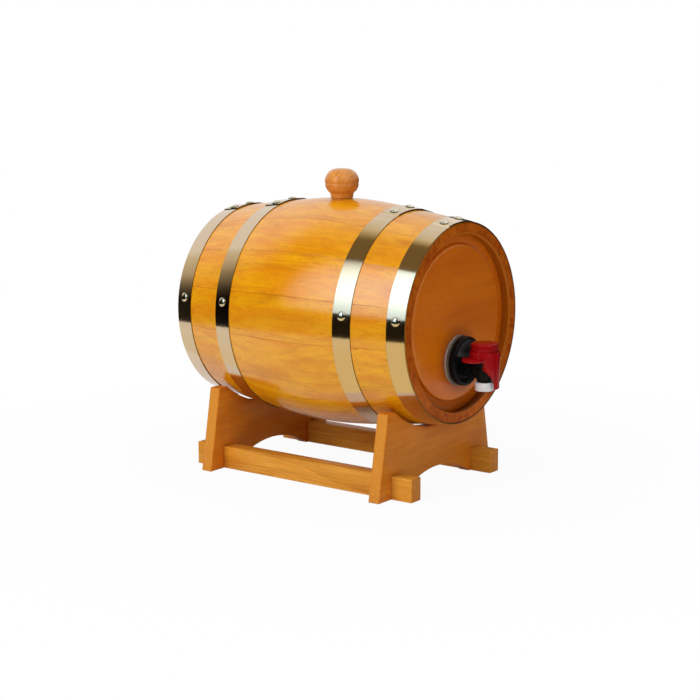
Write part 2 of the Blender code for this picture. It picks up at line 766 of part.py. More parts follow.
def prism_mesh(name, points, back, front):
    """A closed outline in X and Z given its depth from one Y to another."""
    mesh = bpy.data.meshes.new(name)
    shape = bmesh.new()
    corners = [shape.verts.new((across, back, up)) for across, up in points]
    face = shape.faces.new(corners)
    grown = bmesh.ops.extrude_face_region(shape, geom=[face])
    moved = [item for item in grown["geom"] if isinstance(item, bmesh.types.BMVert)]
    bmesh.ops.translate(shape, vec=(0, front - back, 0), verts=moved)
    bmesh.ops.recalc_face_normals(shape, faces=shape.faces)
    shape.to_mesh(mesh)
    shape.free()
    return mesh


def trim_flap(collar, low):
    """Cuts the skirt under the collar to a shield shape with a narrow tongue at the front."""
    reach = COLLAR_RADIUS + OVERRUN
    side = [
        (FLAP_HALF_WIDTH, COLLAR_BOTTOM),
        (FLAP_HALF_WIDTH, TAP_HEIGHT - FLAP_SIDE_DROP),
        (TONGUE_HALF_WIDTH, TAP_HEIGHT - FLAP_POINT_DROP),
        (TONGUE_HALF_WIDTH, low - OVERRUN),
        (reach, low - OVERRUN),
        (reach, COLLAR_BOTTOM),
    ]
    side_trim = add_cutter("flap_side_trim", prism_mesh("flap_side_trim", side, reach, -reach), SPOUT_AXIS)
    side_trim.modifiers.new("both_sides", "MIRROR").merge_threshold = GAP / 10
    combine(collar, side_trim)
    back_size = (2 * FLAP_HALF_WIDTH + OVERRUN, reach, COLLAR_BOTTOM - low + OVERRUN)
    back_centre = (0, reach / 2, (COLLAR_BOTTOM + low - OVERRUN) / 2)
    back_trim = add_cutter("flap_back_trim", box_mesh("flap_back_trim", back_size, back_centre), SPOUT_AXIS)
    combine(collar, back_trim)


def make_collar():
    """A turned cup with a skirt, two wings and a rib, then trimmed and hollowed."""
    low = TAP_HEIGHT - TONGUE_DROP
    profile = [
        (0, COLLAR_TOP),
        (COLLAR_RADIUS, COLLAR_TOP),
        (COLLAR_RADIUS, low),
        (COLLAR_RADIUS - FLAP_THICKNESS, low),
        (COLLAR_RADIUS - FLAP_THICKNESS, COLLAR_BOTTOM),
        (0, COLLAR_BOTTOM),
    ]
    collar = turned_piece("wing_collar", profile, TAP_STEPS, RED_PLASTIC, SPOUT_AXIS)
    trim_flap(collar, low)
    combine(collar, wing_cutter("left_wing", -1), "UNION")
    combine(collar, wing_cutter("right_wing", 1), "UNION")
    rib_top = COLLAR_TOP - RIB_PROUD
    rib_low = low + RIB_PROUD
    rib_back = COLLAR_RADIUS - FLAP_THICKNESS / 2
    rib_front = COLLAR_RADIUS + RIB_PROUD
    size = (2 * RIB_HALF_WIDTH, rib_front - rib_back, rib_top - rib_low)
    centre = (0, -(rib_front + rib_back) / 2, (rib_top + rib_low) / 2)
    combine(collar, add_cutter("flap_rib", box_mesh("flap_rib", size, centre), SPOUT_AXIS), "UNION")
    well_profile = [
        (0, COLLAR_TOP + OVERRUN),
        (COLLAR_WELL_RADIUS, COLLAR_TOP + OVERRUN),
        (COLLAR_WELL_RADIUS, COLLAR_BOTTOM + COLLAR_FLOOR),
        (NECK_RADIUS + GAP, COLLAR_BOTTOM + COLLAR_FLOOR),
        (NECK_RADIUS + GAP, COLLAR_BOTTOM - OVERRUN),
        (0, COLLAR_BOTTOM - OVERRUN),
    ]
    combine(collar, turned_cutter("collar_well", well_profile, TAP_STEPS, SPOUT_AXIS))


def make_button():
    top = BUTTON_BOTTOM + BUTTON_HEIGHT
    groove_height = (top + COLLAR_TOP) / 2
    boss_low = BUTTON_CEILING - BUTTON_BOSS_DEPTH
    profile = [
        (0, top),
        (BUTTON_RADIUS - BUTTON_GROOVE, top),
        (BUTTON_RADIUS, top - BUTTON_GROOVE),
        (BUTTON_RADIUS, groove_height + BUTTON_GROOVE),
        (BUTTON_RADIUS - BUTTON_GROOVE, groove_height),
        (BUTTON_RADIUS, groove_height - BUTTON_GROOVE),
        (BUTTON_RADIUS, BUTTON_BOTTOM),
        (BUTTON_RADIUS - BUTTON_WALL, BUTTON_BOTTOM),
        (BUTTON_RADIUS - BUTTON_WALL, BUTTON_CEILING),
        (BUTTON_BOSS_RADIUS, BUTTON_CEILING),
        (BUTTON_BOSS_RADIUS, boss_low),
        (STEM_RADIUS + GAP, boss_low),
        (STEM_RADIUS + GAP, BUTTON_CEILING + GAP),
        (0, BUTTON_CEILING + GAP),
    ]
    turned_piece("tap_button", profile, TAP_STEPS, RED_PLASTIC, SPOUT_AXIS)
    valve_top = SEAT_BOTTOM - GAP
    stem = [
        (0, BUTTON_CEILING),
        (STEM_RADIUS, BUTTON_CEILING),
        (STEM_RADIUS, valve_top),
        (VALVE_RADIUS, valve_top),
        (VALVE_RADIUS, valve_top - VALVE_THICKNESS),
        (0, valve_top - VALVE_THICKNESS),
    ]
    turned_piece("valve_stem", stem, TAP_STEPS // 2, WHITE_PLASTIC, SPOUT_AXIS)


def make_ring():
    top = TAP_HEIGHT - RING_TOP_DROP
    bottom = TAP_HEIGHT - RING_BOTTOM_DROP
    profile = [
        (RING_BORE_RADIUS, top),
        (RING_RADIUS, top),
        (RING_RADIUS, bottom + RING_ROUNDING),
        (RING_RADIUS - RING_ROUNDING, bottom),
        (RING_BORE_RADIUS, bottom),
    ]
    turned_piece("spout_ring", profile, TAP_STEPS, WHITE_PLASTIC, SPOUT_AXIS, closed=True)


make_stand()
make_staves()
make_heads()
make_hoops()
make_nails()
make_bung()
make_gland()
make_tap_body()
make_collar()
make_button()
make_ring()
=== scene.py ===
import math

import bmesh
import bpy
from mathutils import Matrix, Vector


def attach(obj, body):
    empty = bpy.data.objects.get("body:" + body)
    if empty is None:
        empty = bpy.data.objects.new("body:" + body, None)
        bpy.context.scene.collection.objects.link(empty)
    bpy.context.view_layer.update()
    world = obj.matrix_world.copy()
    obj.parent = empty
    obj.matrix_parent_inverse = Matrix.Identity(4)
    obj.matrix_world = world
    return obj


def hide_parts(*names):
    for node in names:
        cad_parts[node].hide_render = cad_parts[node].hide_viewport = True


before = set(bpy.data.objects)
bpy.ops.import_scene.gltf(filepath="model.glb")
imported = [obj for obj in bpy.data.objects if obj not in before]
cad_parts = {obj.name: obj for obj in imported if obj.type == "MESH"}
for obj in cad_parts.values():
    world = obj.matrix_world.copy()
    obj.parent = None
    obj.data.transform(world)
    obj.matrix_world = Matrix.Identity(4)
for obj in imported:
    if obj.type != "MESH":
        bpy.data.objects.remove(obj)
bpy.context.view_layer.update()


# The photographer's camera stands to the left of the tap end, a little above the cask's middle,
# more than a metre away, with a long lens.

CAMERA_PLACE = Vector((-0.954986, -0.697613, 0.304437))
CAMERA_AIM = Vector((0.003877, 0.0142, 0.092680))
CAMERA_ROLL = math.radians(-0.16)


def new_object(name, data):
    """An object in the scene that holds a mesh, a lamp or a camera."""
    held = bpy.data.objects.new(name, data)
    bpy.context.scene.collection.objects.link(held)
    return held


forward = (CAMERA_AIM - CAMERA_PLACE).normalized()
level_right = forward.cross(Vector((0, 0, 1))).normalized()
level_up = level_right.cross(forward)
right = level_right * math.cos(CAMERA_ROLL) + level_up * math.sin(CAMERA_ROLL)
up = level_up * math.cos(CAMERA_ROLL) - level_right * math.sin(CAMERA_ROLL)
lens = bpy.data.cameras.new("photo_camera")
lens.lens = 89.22
lens.sensor_width = 36
lens.shift_x = 0.0003
lens.shift_y = -0.0191
lens.clip_start = 0.05
lens.clip_end = 60
facing = Matrix((right, up, -forward)).transposed().to_4x4()
camera = new_object("photo_camera", lens)
camera.matrix_world = Matrix.Translation(CAMERA_PLACE) @ facing
bpy.context.scene.camera = camera
bpy.context.scene.view_settings.view_transform = "Standard"


# The studio is a white table in a white surround. A shader tree's helpers are made here,
# because the surround is the first to need them.

ROOM_LIGHT = (0.90, 0.94, 1.0, 1)
ROOM_LIGHT_STRENGTH = 0.12
WHITE_GLOW = {"Color": (1, 1, 1, 1), "Strength": 1}
TABLE_WIDTH = 24.0
TABLE_DROP = 0.0002
TABLE_PAINT = (0.80, 0.80, 0.80, 1)
SHADOW_SPAN = (0.12, 0.40)
MIRROR_SPAN = (0.10, 0.30)
SHADOW_SEEN = 0.05
SHADOW_MIRRORED = 0.90


def add_node(tree, kind, inputs=None, **settings):
    """Adds a node, sets its options, and links or fills the inputs that are named."""
    node = tree.nodes.new(kind)
    for key, value in settings.items():
        setattr(node, key, value)
    for key, value in (inputs or {}).items():
        if isinstance(value, bpy.types.NodeSocket):
            tree.links.new(value, node.inputs[key])
        else:
            node.inputs[key].default_value = value
    return node


def tree_of(*values):
    """The tree of the first socket among some values."""
    return next(value.id_data for value in values if isinstance(value, bpy.types.NodeSocket))


def calc(operation, *values, clamp=False):
    """One step of arithmetic on sockets and numbers."""
    numbered = dict(enumerate(values))
    node = add_node(tree_of(*values), "ShaderNodeMath", numbered, operation=operation, use_clamp=clamp)
    return node.outputs[0]


def times(first, second):
    return calc("MULTIPLY", first, second)


def vector_calc(operation, *vectors):
    """One step of arithmetic on vectors, as the node's outputs."""
    numbered = dict(enumerate(vectors))
    return add_node(tree_of(*vectors), "ShaderNodeVectorMath", numbered, operation=operation).outputs


def object_place(tree):
    return add_node(tree, "ShaderNodeTexCoord").outputs["Object"]


def ranged(value, low, high, to_low=0.0, to_high=1.0):
    """A value spread smoothly from one span to another."""
    spans = {"Value": value, "From Min": low, "From Max": high, "To Min": to_low, "To Max": to_high}
    return add_node(value.id_data, "ShaderNodeMapRange", spans, interpolation_type="SMOOTHSTEP").outputs[0]


def white_share(tree, seen=1.0, mirrored=1.0):
    """How much of the plain white shows to the camera, and in reflections."""
    path = add_node(tree, "ShaderNodeLightPath")
    shiny = calc("MAXIMUM", path.outputs["Is Glossy Ray"], path.outputs["Is Transmission Ray"])
    camera_share = times(path.outputs["Is Camera Ray"], seen)
    return calc("MAXIMUM", camera_share, times(shiny, mirrored))


def emptied(holder):
    """The node tree of a new world or material, with nothing in it."""
    holder.use_nodes = True
    holder.node_tree.nodes.clear()
    return holder.node_tree


room = bpy.data.worlds.new("white_room")
room_tree = emptied(room)
lit = add_node(room_tree, "ShaderNodeBackground", {"Color": ROOM_LIGHT, "Strength": ROOM_LIGHT_STRENGTH})
white = add_node(room_tree, "ShaderNodeBackground", WHITE_GLOW)
shown = {0: white_share(room_tree), 1: lit.outputs[0], 2: white.outputs[0]}
surround = add_node(room_tree, "ShaderNodeMixShader", shown)
add_node(room_tree, "ShaderNodeOutputWorld", {"Surface": surround.outputs[0]})
bpy.context.scene.world = room

table_top = bpy.data.meshes.new("table_top")
bench = bmesh.new()
bmesh.ops.create_grid(bench, x_segments=1, y_segments=1, size=TABLE_WIDTH / 2)
bench.to_mesh(table_top)
bench.free()
table_white = bpy.data.materials.new("white_table")
table_tree = emptied(table_white)
paint = add_node(table_tree, "ShaderNodeBsdfDiffuse", {"Color": TABLE_PAINT})
glow = add_node(table_tree, "ShaderNodeEmission", WHITE_GLOW)
away = vector_calc("LENGTH", object_place(table_tree))["Value"]
seen = ranged(away, *SHADOW_SPAN, 1 - SHADOW_SEEN, 1.0)
mirrored = ranged(away, *MIRROR_SPAN, 1 - SHADOW_MIRRORED, 1.0)
both = {0: white_share(table_tree, seen, mirrored), 1: paint.outputs[0], 2: glow.outputs[0]}
painted = add_node(table_tree, "ShaderNodeMixShader", both)
add_node(table_tree, "ShaderNodeOutputMaterial", {"Surface": painted.outputs[0]})
table_top.materials.append(table_white)
table = new_object("table_top", table_top)
table.location.z = -TABLE_DROP


# A soft key lamp stands on the left and a little behind, and a wide one hangs overhead. The white
# table throws their light back on the shaded faces, and a weak lamp at the front helps it.

LAMPS = {
    "key_lamp": ((-1.36, 0.24, 0.90), 0.9, 16.0, (1.0, 0.97, 0.94)),
    "overhead_lamp": ((0.10, 0.20, 1.65), 1.3, 12.5, (1.0, 0.98, 0.97)),
    "front_lamp": ((-0.60, -1.65, 0.70), 1.0, 8.0, (1.0, 0.97, 0.94)),
}
LIT_PLACE = Vector((0, 0.01, 0.10))

for lamp_name, (place, width, watts, tint) in LAMPS.items():
    lamp = bpy.data.lights.new(lamp_name, "AREA")
    lamp.shape = "SQUARE"
    lamp.size = width
    lamp.energy = watts
    lamp.color = tint
    stand = new_object(lamp_name, lamp)
    stand.location = place
    stand.rotation_euler = (LIT_PLACE - Vector(place)).to_track_quat("-Z", "Y").to_euler()
    stand.visible_glossy = False


# Cloths, a pale wall and a softbox's face stand round the table, for the lacquer and the brass to
# mirror, and a cream card lies at its left. They light nothing and show in reflections only.
# Their turns are in degrees from the front, towards the right.

CLOTH_RADIUS = 0.44
SOFTBOX_RADIUS = 0.42
LEFT_CLOTH = (-129, -58)
FRONT_CLOTH = (-58, 112)
SIDE_CLOTH = (112, 146)
WALL = (146, 231)
CEILING = (112, 231)
BLACK = (0.014, 0.009, 0.004)
DIM = (0.195, 0.135, 0.050)
PALE = (0.86, 0.86, 0.84)
FRONT_HEM = (0.3, 0.28, 0.25)
WALL_FADE = [
    (0.0, (0.92, 0.93, 0.95)),
    (0.24, (0.92, 0.93, 0.92)),
    (0.38, (0.75, 0.72, 0.57)),
    (0.59, (0.64, 0.57, 0.44)),
    (0.71, (0.48, 0.41, 0.27)),
    (0.79, (0.30, 0.25, 0.17)),
    (0.86, (0.20, 0.17, 0.11)),
    (0.93, (0.11, 0.09, 0.06)),
    (1.0, (0.03, 0.02, 0.012)),
]
WALL_ROWS = [
    (0.0, 190, 219, 0.05),
    (0.13, 190, 219, 0.05),
    (0.18, 190, 219, 0.40),
    (0.24, 190, 219, 1.0),
    (0.46, 190, 219, 1.0),
    (0.60, 181, 214, 1.0),
    (0.75, 165, 208, 1.0),
]
CEILING_FADE = [
    (0.0, (0.84, 0.83, 0.78)),
    (0.45, (0.77, 0.71, 0.52)),
    (0.75, (0.50, 0.40, 0.20)),
    (1.0, DIM),
]
CEILING_ROWS = [(0.75, 150, 208), (1.0, 130, 198), (1.2, 122, 194), (1.45, 113, 180), (1.9, 113, 172)]
SOFTBOX_STOPS = [
    (-122.5, (0.05, 0.05, 0.05)),
    (-118.5, (0.95, 1.06, 1.08)),
    (-114.5, (1.34, 1.60, 1.72)),
    (-111.0, (1.42, 1.80, 2.00)),
    (-107.0, (1.62, 2.20, 2.62)),
    (-102.0, (1.78, 2.46, 3.04)),
    (-84.0, (1.78, 2.46, 3.04)),
]
SOFTBOX_ROWS = [(0.165, 0.50), (0.21, 0.62), (0.30, 0.92), (0.40, 1.0), (0.54, 0.95), (0.72, 0.76)]
CARD_SIDES = (-0.80, -0.075)
CARD_STOPS = [
    (-0.60, (0.84, 0.70, 0.36)),
    (0.02, (0.84, 0.70, 0.36)),
    (0.26, (0.86, 0.84, 0.76)),
    (0.60, PALE),
]


def mirrored_only(name, points, faces, glows):
    """A sheet that shows in reflections only, with a glow at each of its points."""
    mesh = bpy.data.meshes.new(name)
    mesh.from_pydata(points, [], faces)
    layer = mesh.color_attributes.new("glow", "FLOAT_COLOR", "POINT")
    for item, glow in zip(layer.data, glows):
        item.color = (*glow, 1)
    look = bpy.data.materials.new(name)
    tree = emptied(look)
    held = add_node(tree, "ShaderNodeAttribute", attribute_name="glow").outputs["Color"]
    shine = add_node(tree, "ShaderNodeEmission", {"Color": held, "Strength": 1})
    add_node(tree, "ShaderNodeOutputMaterial", {"Surface": shine.outputs[0]})
    mesh.materials.append(look)
    sheet = new_object(name, mesh)
    sheet.visible_camera = False
    sheet.visible_diffuse = False
    sheet.visible_transmission = False
    sheet.visible_shadow = False


def hung_sheet(name, rows, radius=CLOTH_RADIUS):
    """An upright sheet round the table. A row is a height and its stops, each a turn and a glow."""
    points, faces, glows = [], [], []
    for height, stops in rows:
        for turn, glow in stops:
            turn = math.radians(turn)
            points.append((radius * math.sin(turn), LIT_PLACE.y - radius * math.cos(turn), height))
            glows.append(glow)
    wide = len(rows[0][1])
    for row in range(len(rows) - 1):
        for stop in range(wide - 1):
            low = row * wide + stop
            faces.append((low, low + 1, low + 1 + wide, low + wide))
    mirrored_only(name, points, faces, glows)


def plain_rows(span, glows, steps=6):
    """The rows of a sheet with one glow at each of its heights."""
    first, last = span
    turns = [first + (last - first) * step / steps for step in range(steps + 1)]
    return [(height, [(turn, glow) for turn in turns]) for height, glow in glows]


def scaled(stops, share):
    """The stops with their glows turned down to a share."""
    return [(turn, tuple(share * part for part in glow)) for turn, glow in stops]


def faded(span, start, end, fade, share=1.0):
    """The stops of a row that fades from its start to its end and is even outside them."""
    stops = [(start + (end - start) * place, glow) for place, glow in fade]
    return scaled([(span[0], fade[0][1]), *stops, (span[1], fade[-1][1])], share)


wall_rows = [(height, faded(WALL, start, end, WALL_FADE, share)) for height, start, end, share in WALL_ROWS]
ceiling_rows = [(height, faded(CEILING, start, end, CEILING_FADE)) for height, start, end in CEILING_ROWS]
softbox_rows = [(height, scaled(SOFTBOX_STOPS, share)) for height, share in SOFTBOX_ROWS]
hung_sheet("side_cloth", plain_rows(SIDE_CLOTH, [(0.0, PALE), (0.75, PALE)]))
hung_sheet("pale_wall", wall_rows)
hung_sheet("dim_ceiling", ceiling_rows)
hung_sheet("left_cloth", plain_rows(LEFT_CLOTH, [(0.0, BLACK), (0.6, BLACK), (0.8, DIM), (1.9, DIM)]))
hung_sheet("front_cloth", plain_rows(FRONT_CLOTH, [(0.0, BLACK), (0.25, BLACK), (0.31, FRONT_HEM)], 16))
hung_sheet("softbox_face", softbox_rows, SOFTBOX_RADIUS)
card_points = [(across, along, 0) for along, glow in CARD_STOPS for across in CARD_SIDES]
card_faces = [(2 * row, 2 * row + 1, 2 * row + 3, 2 * row + 2) for row in range(len(CARD_STOPS) - 1)]
mirrored_only("cream_card", card_points, card_faces, [glow for along, glow in CARD_STOPS for side in (0, 1)])


# The cradle boards are planed hardwood planks, sawn to a hollow above and an arch below, notched
# over the rails and glued. Their edges are rubbed round and they wear a thin honey lacquer.

PLANK_EDGE = 0.0006
THIN_LACQUER = {"Roughness": 0.42, "Specular_IOR_Level": 0.1, "Coat_Weight": 0.1, "Coat_Roughness": 0.2}


def minus(first, second):
    return calc("SUBTRACT", first, second)


def parts_of(vector):
    """The X, Y and Z of a vector."""
    return add_node(vector.id_data, "ShaderNodeSeparateXYZ", {0: vector}).outputs


def stretched(place, scale):
    return add_node(place.id_data, "ShaderNodeMapping", {"Vector": place, "Scale": scale}).outputs[0]


def noise(place, scale, detail, **more):
    """Soft cloudy noise."""
    inputs = {"Vector": place, "Scale": scale, "Detail": detail, **more}
    return add_node(place.id_data, "ShaderNodeTexNoise", inputs).outputs[0]


def grain_group():
    """Wood grain along the place's Y: soft figure, growth lines, fine fibres and short dark flecks,
    with their relief."""
    group = bpy.data.node_groups.new("wood_grain", "ShaderNodeTree")
    group.interface.new_socket("Place", in_out="INPUT", socket_type="NodeSocketVector")
    for label in ("Fibres Per Metre", "Figure", "Fleck Share"):
        group.interface.new_socket(label, in_out="INPUT", socket_type="NodeSocketFloat")
    for label in ("Tone", "Growth", "Fibres", "Flecks", "Relief"):
        group.interface.new_socket(label, in_out="OUTPUT", socket_type="NodeSocketFloat")
    given = add_node(group, "NodeGroupInput").outputs
    place, figure, fine = given["Place"], given["Figure"], given["Fibres Per Metre"]
    tone = noise(stretched(place, (1, 0.26, 1)), figure, 3.0, Roughness=0.55, Distortion=0.5)
    layer = noise(stretched(place, (1, 0.07, 1)), times(figure, 0.3), 1.5)
    growth = calc("POWER", calc("FRACT", times(layer, 13.0)), 3.5)
    sway = {"Vector": stretched(place, (9, 14, 9)), "Scale": 1.0, "Detail": 1.0}
    bend = add_node(group, "ShaderNodeTexNoise", sway).outputs["Color"]
    bend = vector_calc("MULTIPLY", bend, (0.005, 0, 0.005))[0]
    bent = vector_calc("ADD", place, bend)[0]
    fibres = noise(stretched(bent, (1, 0.022, 1)), fine, 2.5, Roughness=0.6)
    speck = noise(stretched(bent, (1, 0.19, 1)), times(fine, 1.6), 1.0)
    spread = {"Value": speck, "From Min": minus(1.0, given["Fleck Share"]), "From Max": 0.82}
    flecks = add_node(group, "ShaderNodeMapRange", spread).outputs[0]
    relief = minus(times(fibres, 0.4), flecks)
    results = {"Tone": tone, "Growth": growth, "Fibres": fibres, "Flecks": flecks, "Relief": relief}
    add_node(group, "NodeGroupOutput", results)
    return group


GRAIN = grain_group()


def mixed(share, first, second):
    """A colour between two, each a socket or a colour."""
    inputs = {0: share, 6: first, 7: second}
    return add_node(share.id_data, "ShaderNodeMix", inputs, data_type="RGBA").outputs[2]


def new_look(name, **constants):
    """A Principled material and its tree, with its unvarying values set on the shader itself."""
    look = bpy.data.materials.new(name)
    look.use_nodes = True
    shader = look.node_tree.nodes["Principled BSDF"]
    for key, value in constants.items():
        shader.inputs[key.replace("_", " ")].default_value = value
    return look, look.node_tree, shader


def grained(place, **settings):
    """The wood's grain, placed in a material with its own settings."""
    node = add_node(place.id_data, "ShaderNodeGroup", {"Place": place}, node_tree=GRAIN)
    for key, value in settings.items():
        node.inputs[key.replace("_", " ")].default_value = value
    return node.outputs


def grain_colour(grain, tones, shares):
    """Wood's colour: a ground between two tones, with growth lines, fibres and flecks of a third."""
    light, dark, line = tones
    growth_share, fibre_share, fleck_share = shares
    ground = mixed(ranged(grain["Tone"], 0.32, 0.68), light, dark)
    threads = ranged(grain["Fibres"], 0.35, 0.75)
    fibred = mixed(times(threads, fibre_share), ground, line)
    broken = times(grain["Growth"], ranged(grain["Fibres"], 0.25, 0.6, 0.3, 1.0))
    grown = mixed(times(broken, growth_share), fibred, line)
    return mixed(times(grain["Flecks"], fleck_share), grown, line)


def facing_along(tree, axis, low, high, share):
    """How squarely a face looks along an axis, either way."""
    normal = parts_of(add_node(tree, "ShaderNodeNewGeometry").outputs["Normal"])
    return ranged(calc("ABSOLUTE", normal[axis]), low, high, 0.0, share)


def add_relief(shader, height, strength, distance=0.0002):
    """Raises the surface by a fine relief."""
    tree = shader.id_data
    bump = add_node(tree, "ShaderNodeBump", {"Height": height, "Strength": strength, "Distance": distance})
    tree.links.new(bump.outputs[0], shader.inputs["Normal"])


def wood_look(name, tones, shares, turned=(0, 0, 0), figure=60.0, flecks=0.36, cut_face=None, **constants):
    """Lacquered wood on object coordinates, its grain turned to run along a plank. The tones are
    light, dark and line. A cut face is an axis and the colour of the wood cut square to it."""
    look, tree, shader = new_look(name, **constants)
    along = {"Vector": object_place(tree), "Rotation": [math.radians(degrees) for degrees in turned]}
    turn = add_node(tree, "ShaderNodeMapping", along).outputs[0]
    grain = grained(turn, Fibres_Per_Metre=800.0, Figure=figure, Fleck_Share=flecks)
    wood = grain_colour(grain, tones, shares)
    if cut_face:
        axis, colour = cut_face
        cut_wood = mixed(ranged(grain["Fibres"], 0.35, 0.75, 0.0, 0.3), colour, tones[2])
        wood = mixed(facing_along(tree, axis, 0.75, 0.95, 0.85), wood, cut_wood)
    tree.links.new(wood, shader.inputs["Base Color"])
    add_relief(shader, grain["Relief"], 0.12)
    return look


BOARD_TONES = (0.76, 0.265, 0.024, 1), (0.67, 0.20, 0.012, 1), (0.34, 0.082, 0.005, 1)
BOARD_EDGE = (0.71, 0.295, 0.040, 1)
board_look = wood_look(
    "lacquered_board",
    BOARD_TONES,
    (0.14, 0.24, 0.42),
    turned=(0, 0, 90),
    cut_face=("X", BOARD_EDGE),
    **THIN_LACQUER,
)


def show(name, mesh, look, body, slot, *nodes):
    """Puts a finished mesh on its body in place of the plain solids."""
    if look:
        mesh.materials.append(look)
    piece = new_object(name, mesh)
    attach(piece, body)
    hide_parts(*nodes)


def finished_mesh(holder):
    """The mesh that an object's modifiers make, and the object taken away."""
    graph = bpy.context.evaluated_depsgraph_get()
    done = holder.evaluated_get(graph)
    mesh = bpy.data.meshes.new_from_object(done, preserve_all_data_layers=True, depsgraph=graph)
    bpy.data.objects.remove(holder, do_unlink=True)
    return mesh


def rounded(mesh, width, segments=3, degrees=30):
    """The mesh with its sharp edges eased round."""
    holder = new_object("holder", mesh)
    bevel = holder.modifiers.new("round_edges", "BEVEL")
    bevel.width = width
    bevel.segments = segments
    bevel.limit_method = "ANGLE"
    bevel.angle_limit = math.radians(degrees)
    bevel.use_clamp_overlap = True
    return finished_mesh(holder)


def smoothed(mesh, degrees=38):
    """The mesh shaded smooth, but for edges sharper than an angle."""
    mesh.shade_smooth()
    mesh.set_sharp_from_angle(angle=math.radians(degrees))
    return mesh


def prism(name, outline, back, front):
    """A flat outline in X and Z made solid between two places along Y."""
    mesh = bpy.data.meshes.new(name)
    shape = bmesh.new()
    face = shape.faces.new([shape.verts.new((across, back, height)) for across, height in outline])
    grown = bmesh.ops.extrude_face_region(shape, geom=[face])
    moved = [item for item in grown["geom"] if isinstance(item, bmesh.types.BMVert)]
    bmesh.ops.translate(shape, vec=(0, front - back, 0), verts=moved)
    bmesh.ops.recalc_face_normals(shape, faces=shape.faces)
    shape.to_mesh(mesh)
    shape.free()
    return mesh


CASK_MIDDLE = 0.0142
AXIS_HEIGHT = 0.112203
BOARD_CENTRE = 0.072
BOARD_THICKNESS = 0.0085
FOOT_HALF_WIDTH = 0.068
HORN_TOP_WIDTH = 0.00868
HORN_HEIGHT = 0.0578
SEAT_HEIGHT = 0.04085
SEAT_RADIUS = 0.0785
ARCH_HALF_WIDTH = 0.041
ARCH_HEIGHT = 0.012
RAIL_CENTRE = 0.0481
RAIL_THICKNESS = 0.0108
RAIL_HEIGHT = 0.0158
NOTCH_GAP = 0.0001
ARC_SPANS = 56


def shallow_arc(half_width, height, radius, sign):
    centre = height - sign * radius
    reach = math.asin(half_width / radius)
    turns = [-reach + 2 * reach * step / ARC_SPANS for step in range(ARC_SPANS + 1)]
    return [(radius * math.sin(turn), centre + sign * radius * math.cos(turn)) for turn in turns]


def board_outline():
    arch_radius = (ARCH_HALF_WIDTH**2 + ARCH_HEIGHT**2) / (2 * ARCH_HEIGHT)
    near = RAIL_CENTRE - RAIL_THICKNESS / 2 - NOTCH_GAP
    far = RAIL_CENTRE + RAIL_THICKNESS / 2 + NOTCH_GAP
    top = RAIL_HEIGHT + NOTCH_GAP
    drop = SEAT_HEIGHT + SEAT_RADIUS - HORN_HEIGHT
    seat_half_width = math.sqrt(SEAT_RADIUS**2 - drop**2)
    foot = [(near, 0), (near, top), (far, top), (far, 0), (FOOT_HALF_WIDTH, 0)]
    seat = shallow_arc(seat_half_width, SEAT_HEIGHT, SEAT_RADIUS, -1)
    arch = shallow_arc(ARCH_HALF_WIDTH, ARCH_HEIGHT, arch_radius, 1)
    horn = seat_half_width + HORN_TOP_WIDTH
    horns = [(horn, HORN_HEIGHT), *reversed(seat), (-horn, HORN_HEIGHT)]
    return [*arch, *foot, *horns, *[(-across, height) for across, height in reversed(foot)]]


for side, node in ((-1, "front_cradle"), (1, "rear_cradle")):
    middle = CASK_MIDDLE + side * BOARD_CENTRE
    plank = prism("plank", board_outline(), middle + BOARD_THICKNESS / 2, middle - BOARD_THICKNESS / 2)
    board = smoothed(rounded(plank, PLANK_EDGE))
    show(node + "_board", board, board_look, "stand", "stand_wood", node)


# The rails are plain sticks of the same wood that run the length of the stand, with their ends
# standing out past its boards. They are let into the boards' notches from below and glued.

RAIL_HALF_LENGTH = 0.09225
RAIL_TONES = (0.85, 0.405, 0.060, 1), (0.74, 0.305, 0.029, 1), (0.34, 0.088, 0.006, 1)
RAIL_END = (0.70, 0.25, 0.034, 1)

rail_look = wood_look(
    "lacquered_rail", RAIL_TONES, (0.30, 0.40, 0.6), cut_face=("Y", RAIL_END), **THIN_LACQUER
)
for side, node in ((-1, "left_rail"), (1, "right_rail")):
    near = side * RAIL_CENTRE - RAIL_THICKNESS / 2
    far = side * RAIL_CENTRE + RAIL_THICKNESS / 2
    section = [(near, 0), (far, 0), (far, RAIL_HEIGHT), (near, RAIL_HEIGHT)]
    stick = prism("stick", section, CASK_MIDDLE + RAIL_HALF_LENGTH, CASK_MIDDLE - RAIL_HALF_LENGTH)
    rail = smoothed(rounded(stick, PLANK_EDGE))
    show(node + "_stick", rail, rail_look, "stand", "stand_wood", node)


# The staves are bent oak, jointed edge to edge, turned smooth as one barrel and sprayed with a
# deep gloss honey lacquer. Each stave has its own tone and its own run of grain.

CASK_LENGTH = 0.192
BELLY_RADIUS = 0.0778
CHIME_RADIUS = 0.067
BELLY_ROUNDING = 0.030
STAVE_THICKNESS = 0.008
STAVE_COUNT = 16
FIRST_JOINT = math.radians(98)
JOINT_WIDTH = 0.00014
JOINT_DEPTH = 0.00004
CHIME_CHAMFER = 0.0010
BUNG_PLACE = CASK_MIDDLE + 0.0035
BUNG_HOLE_RADIUS = 0.0073


def stave_radius(along):
    def bend(length):
        return math.hypot(1, length / BELLY_ROUNDING) - 1

    return BELLY_RADIUS - (BELLY_RADIUS - CHIME_RADIUS) * bend(along) / bend(CASK_LENGTH / 2)


def plus(first, second):
    return calc("ADD", first, second)


def vector_of(x, y, z=0.0):
    return add_node(tree_of(x, y, z), "ShaderNodeCombineXYZ", {"X": x, "Y": y, "Z": z}).outputs[0]


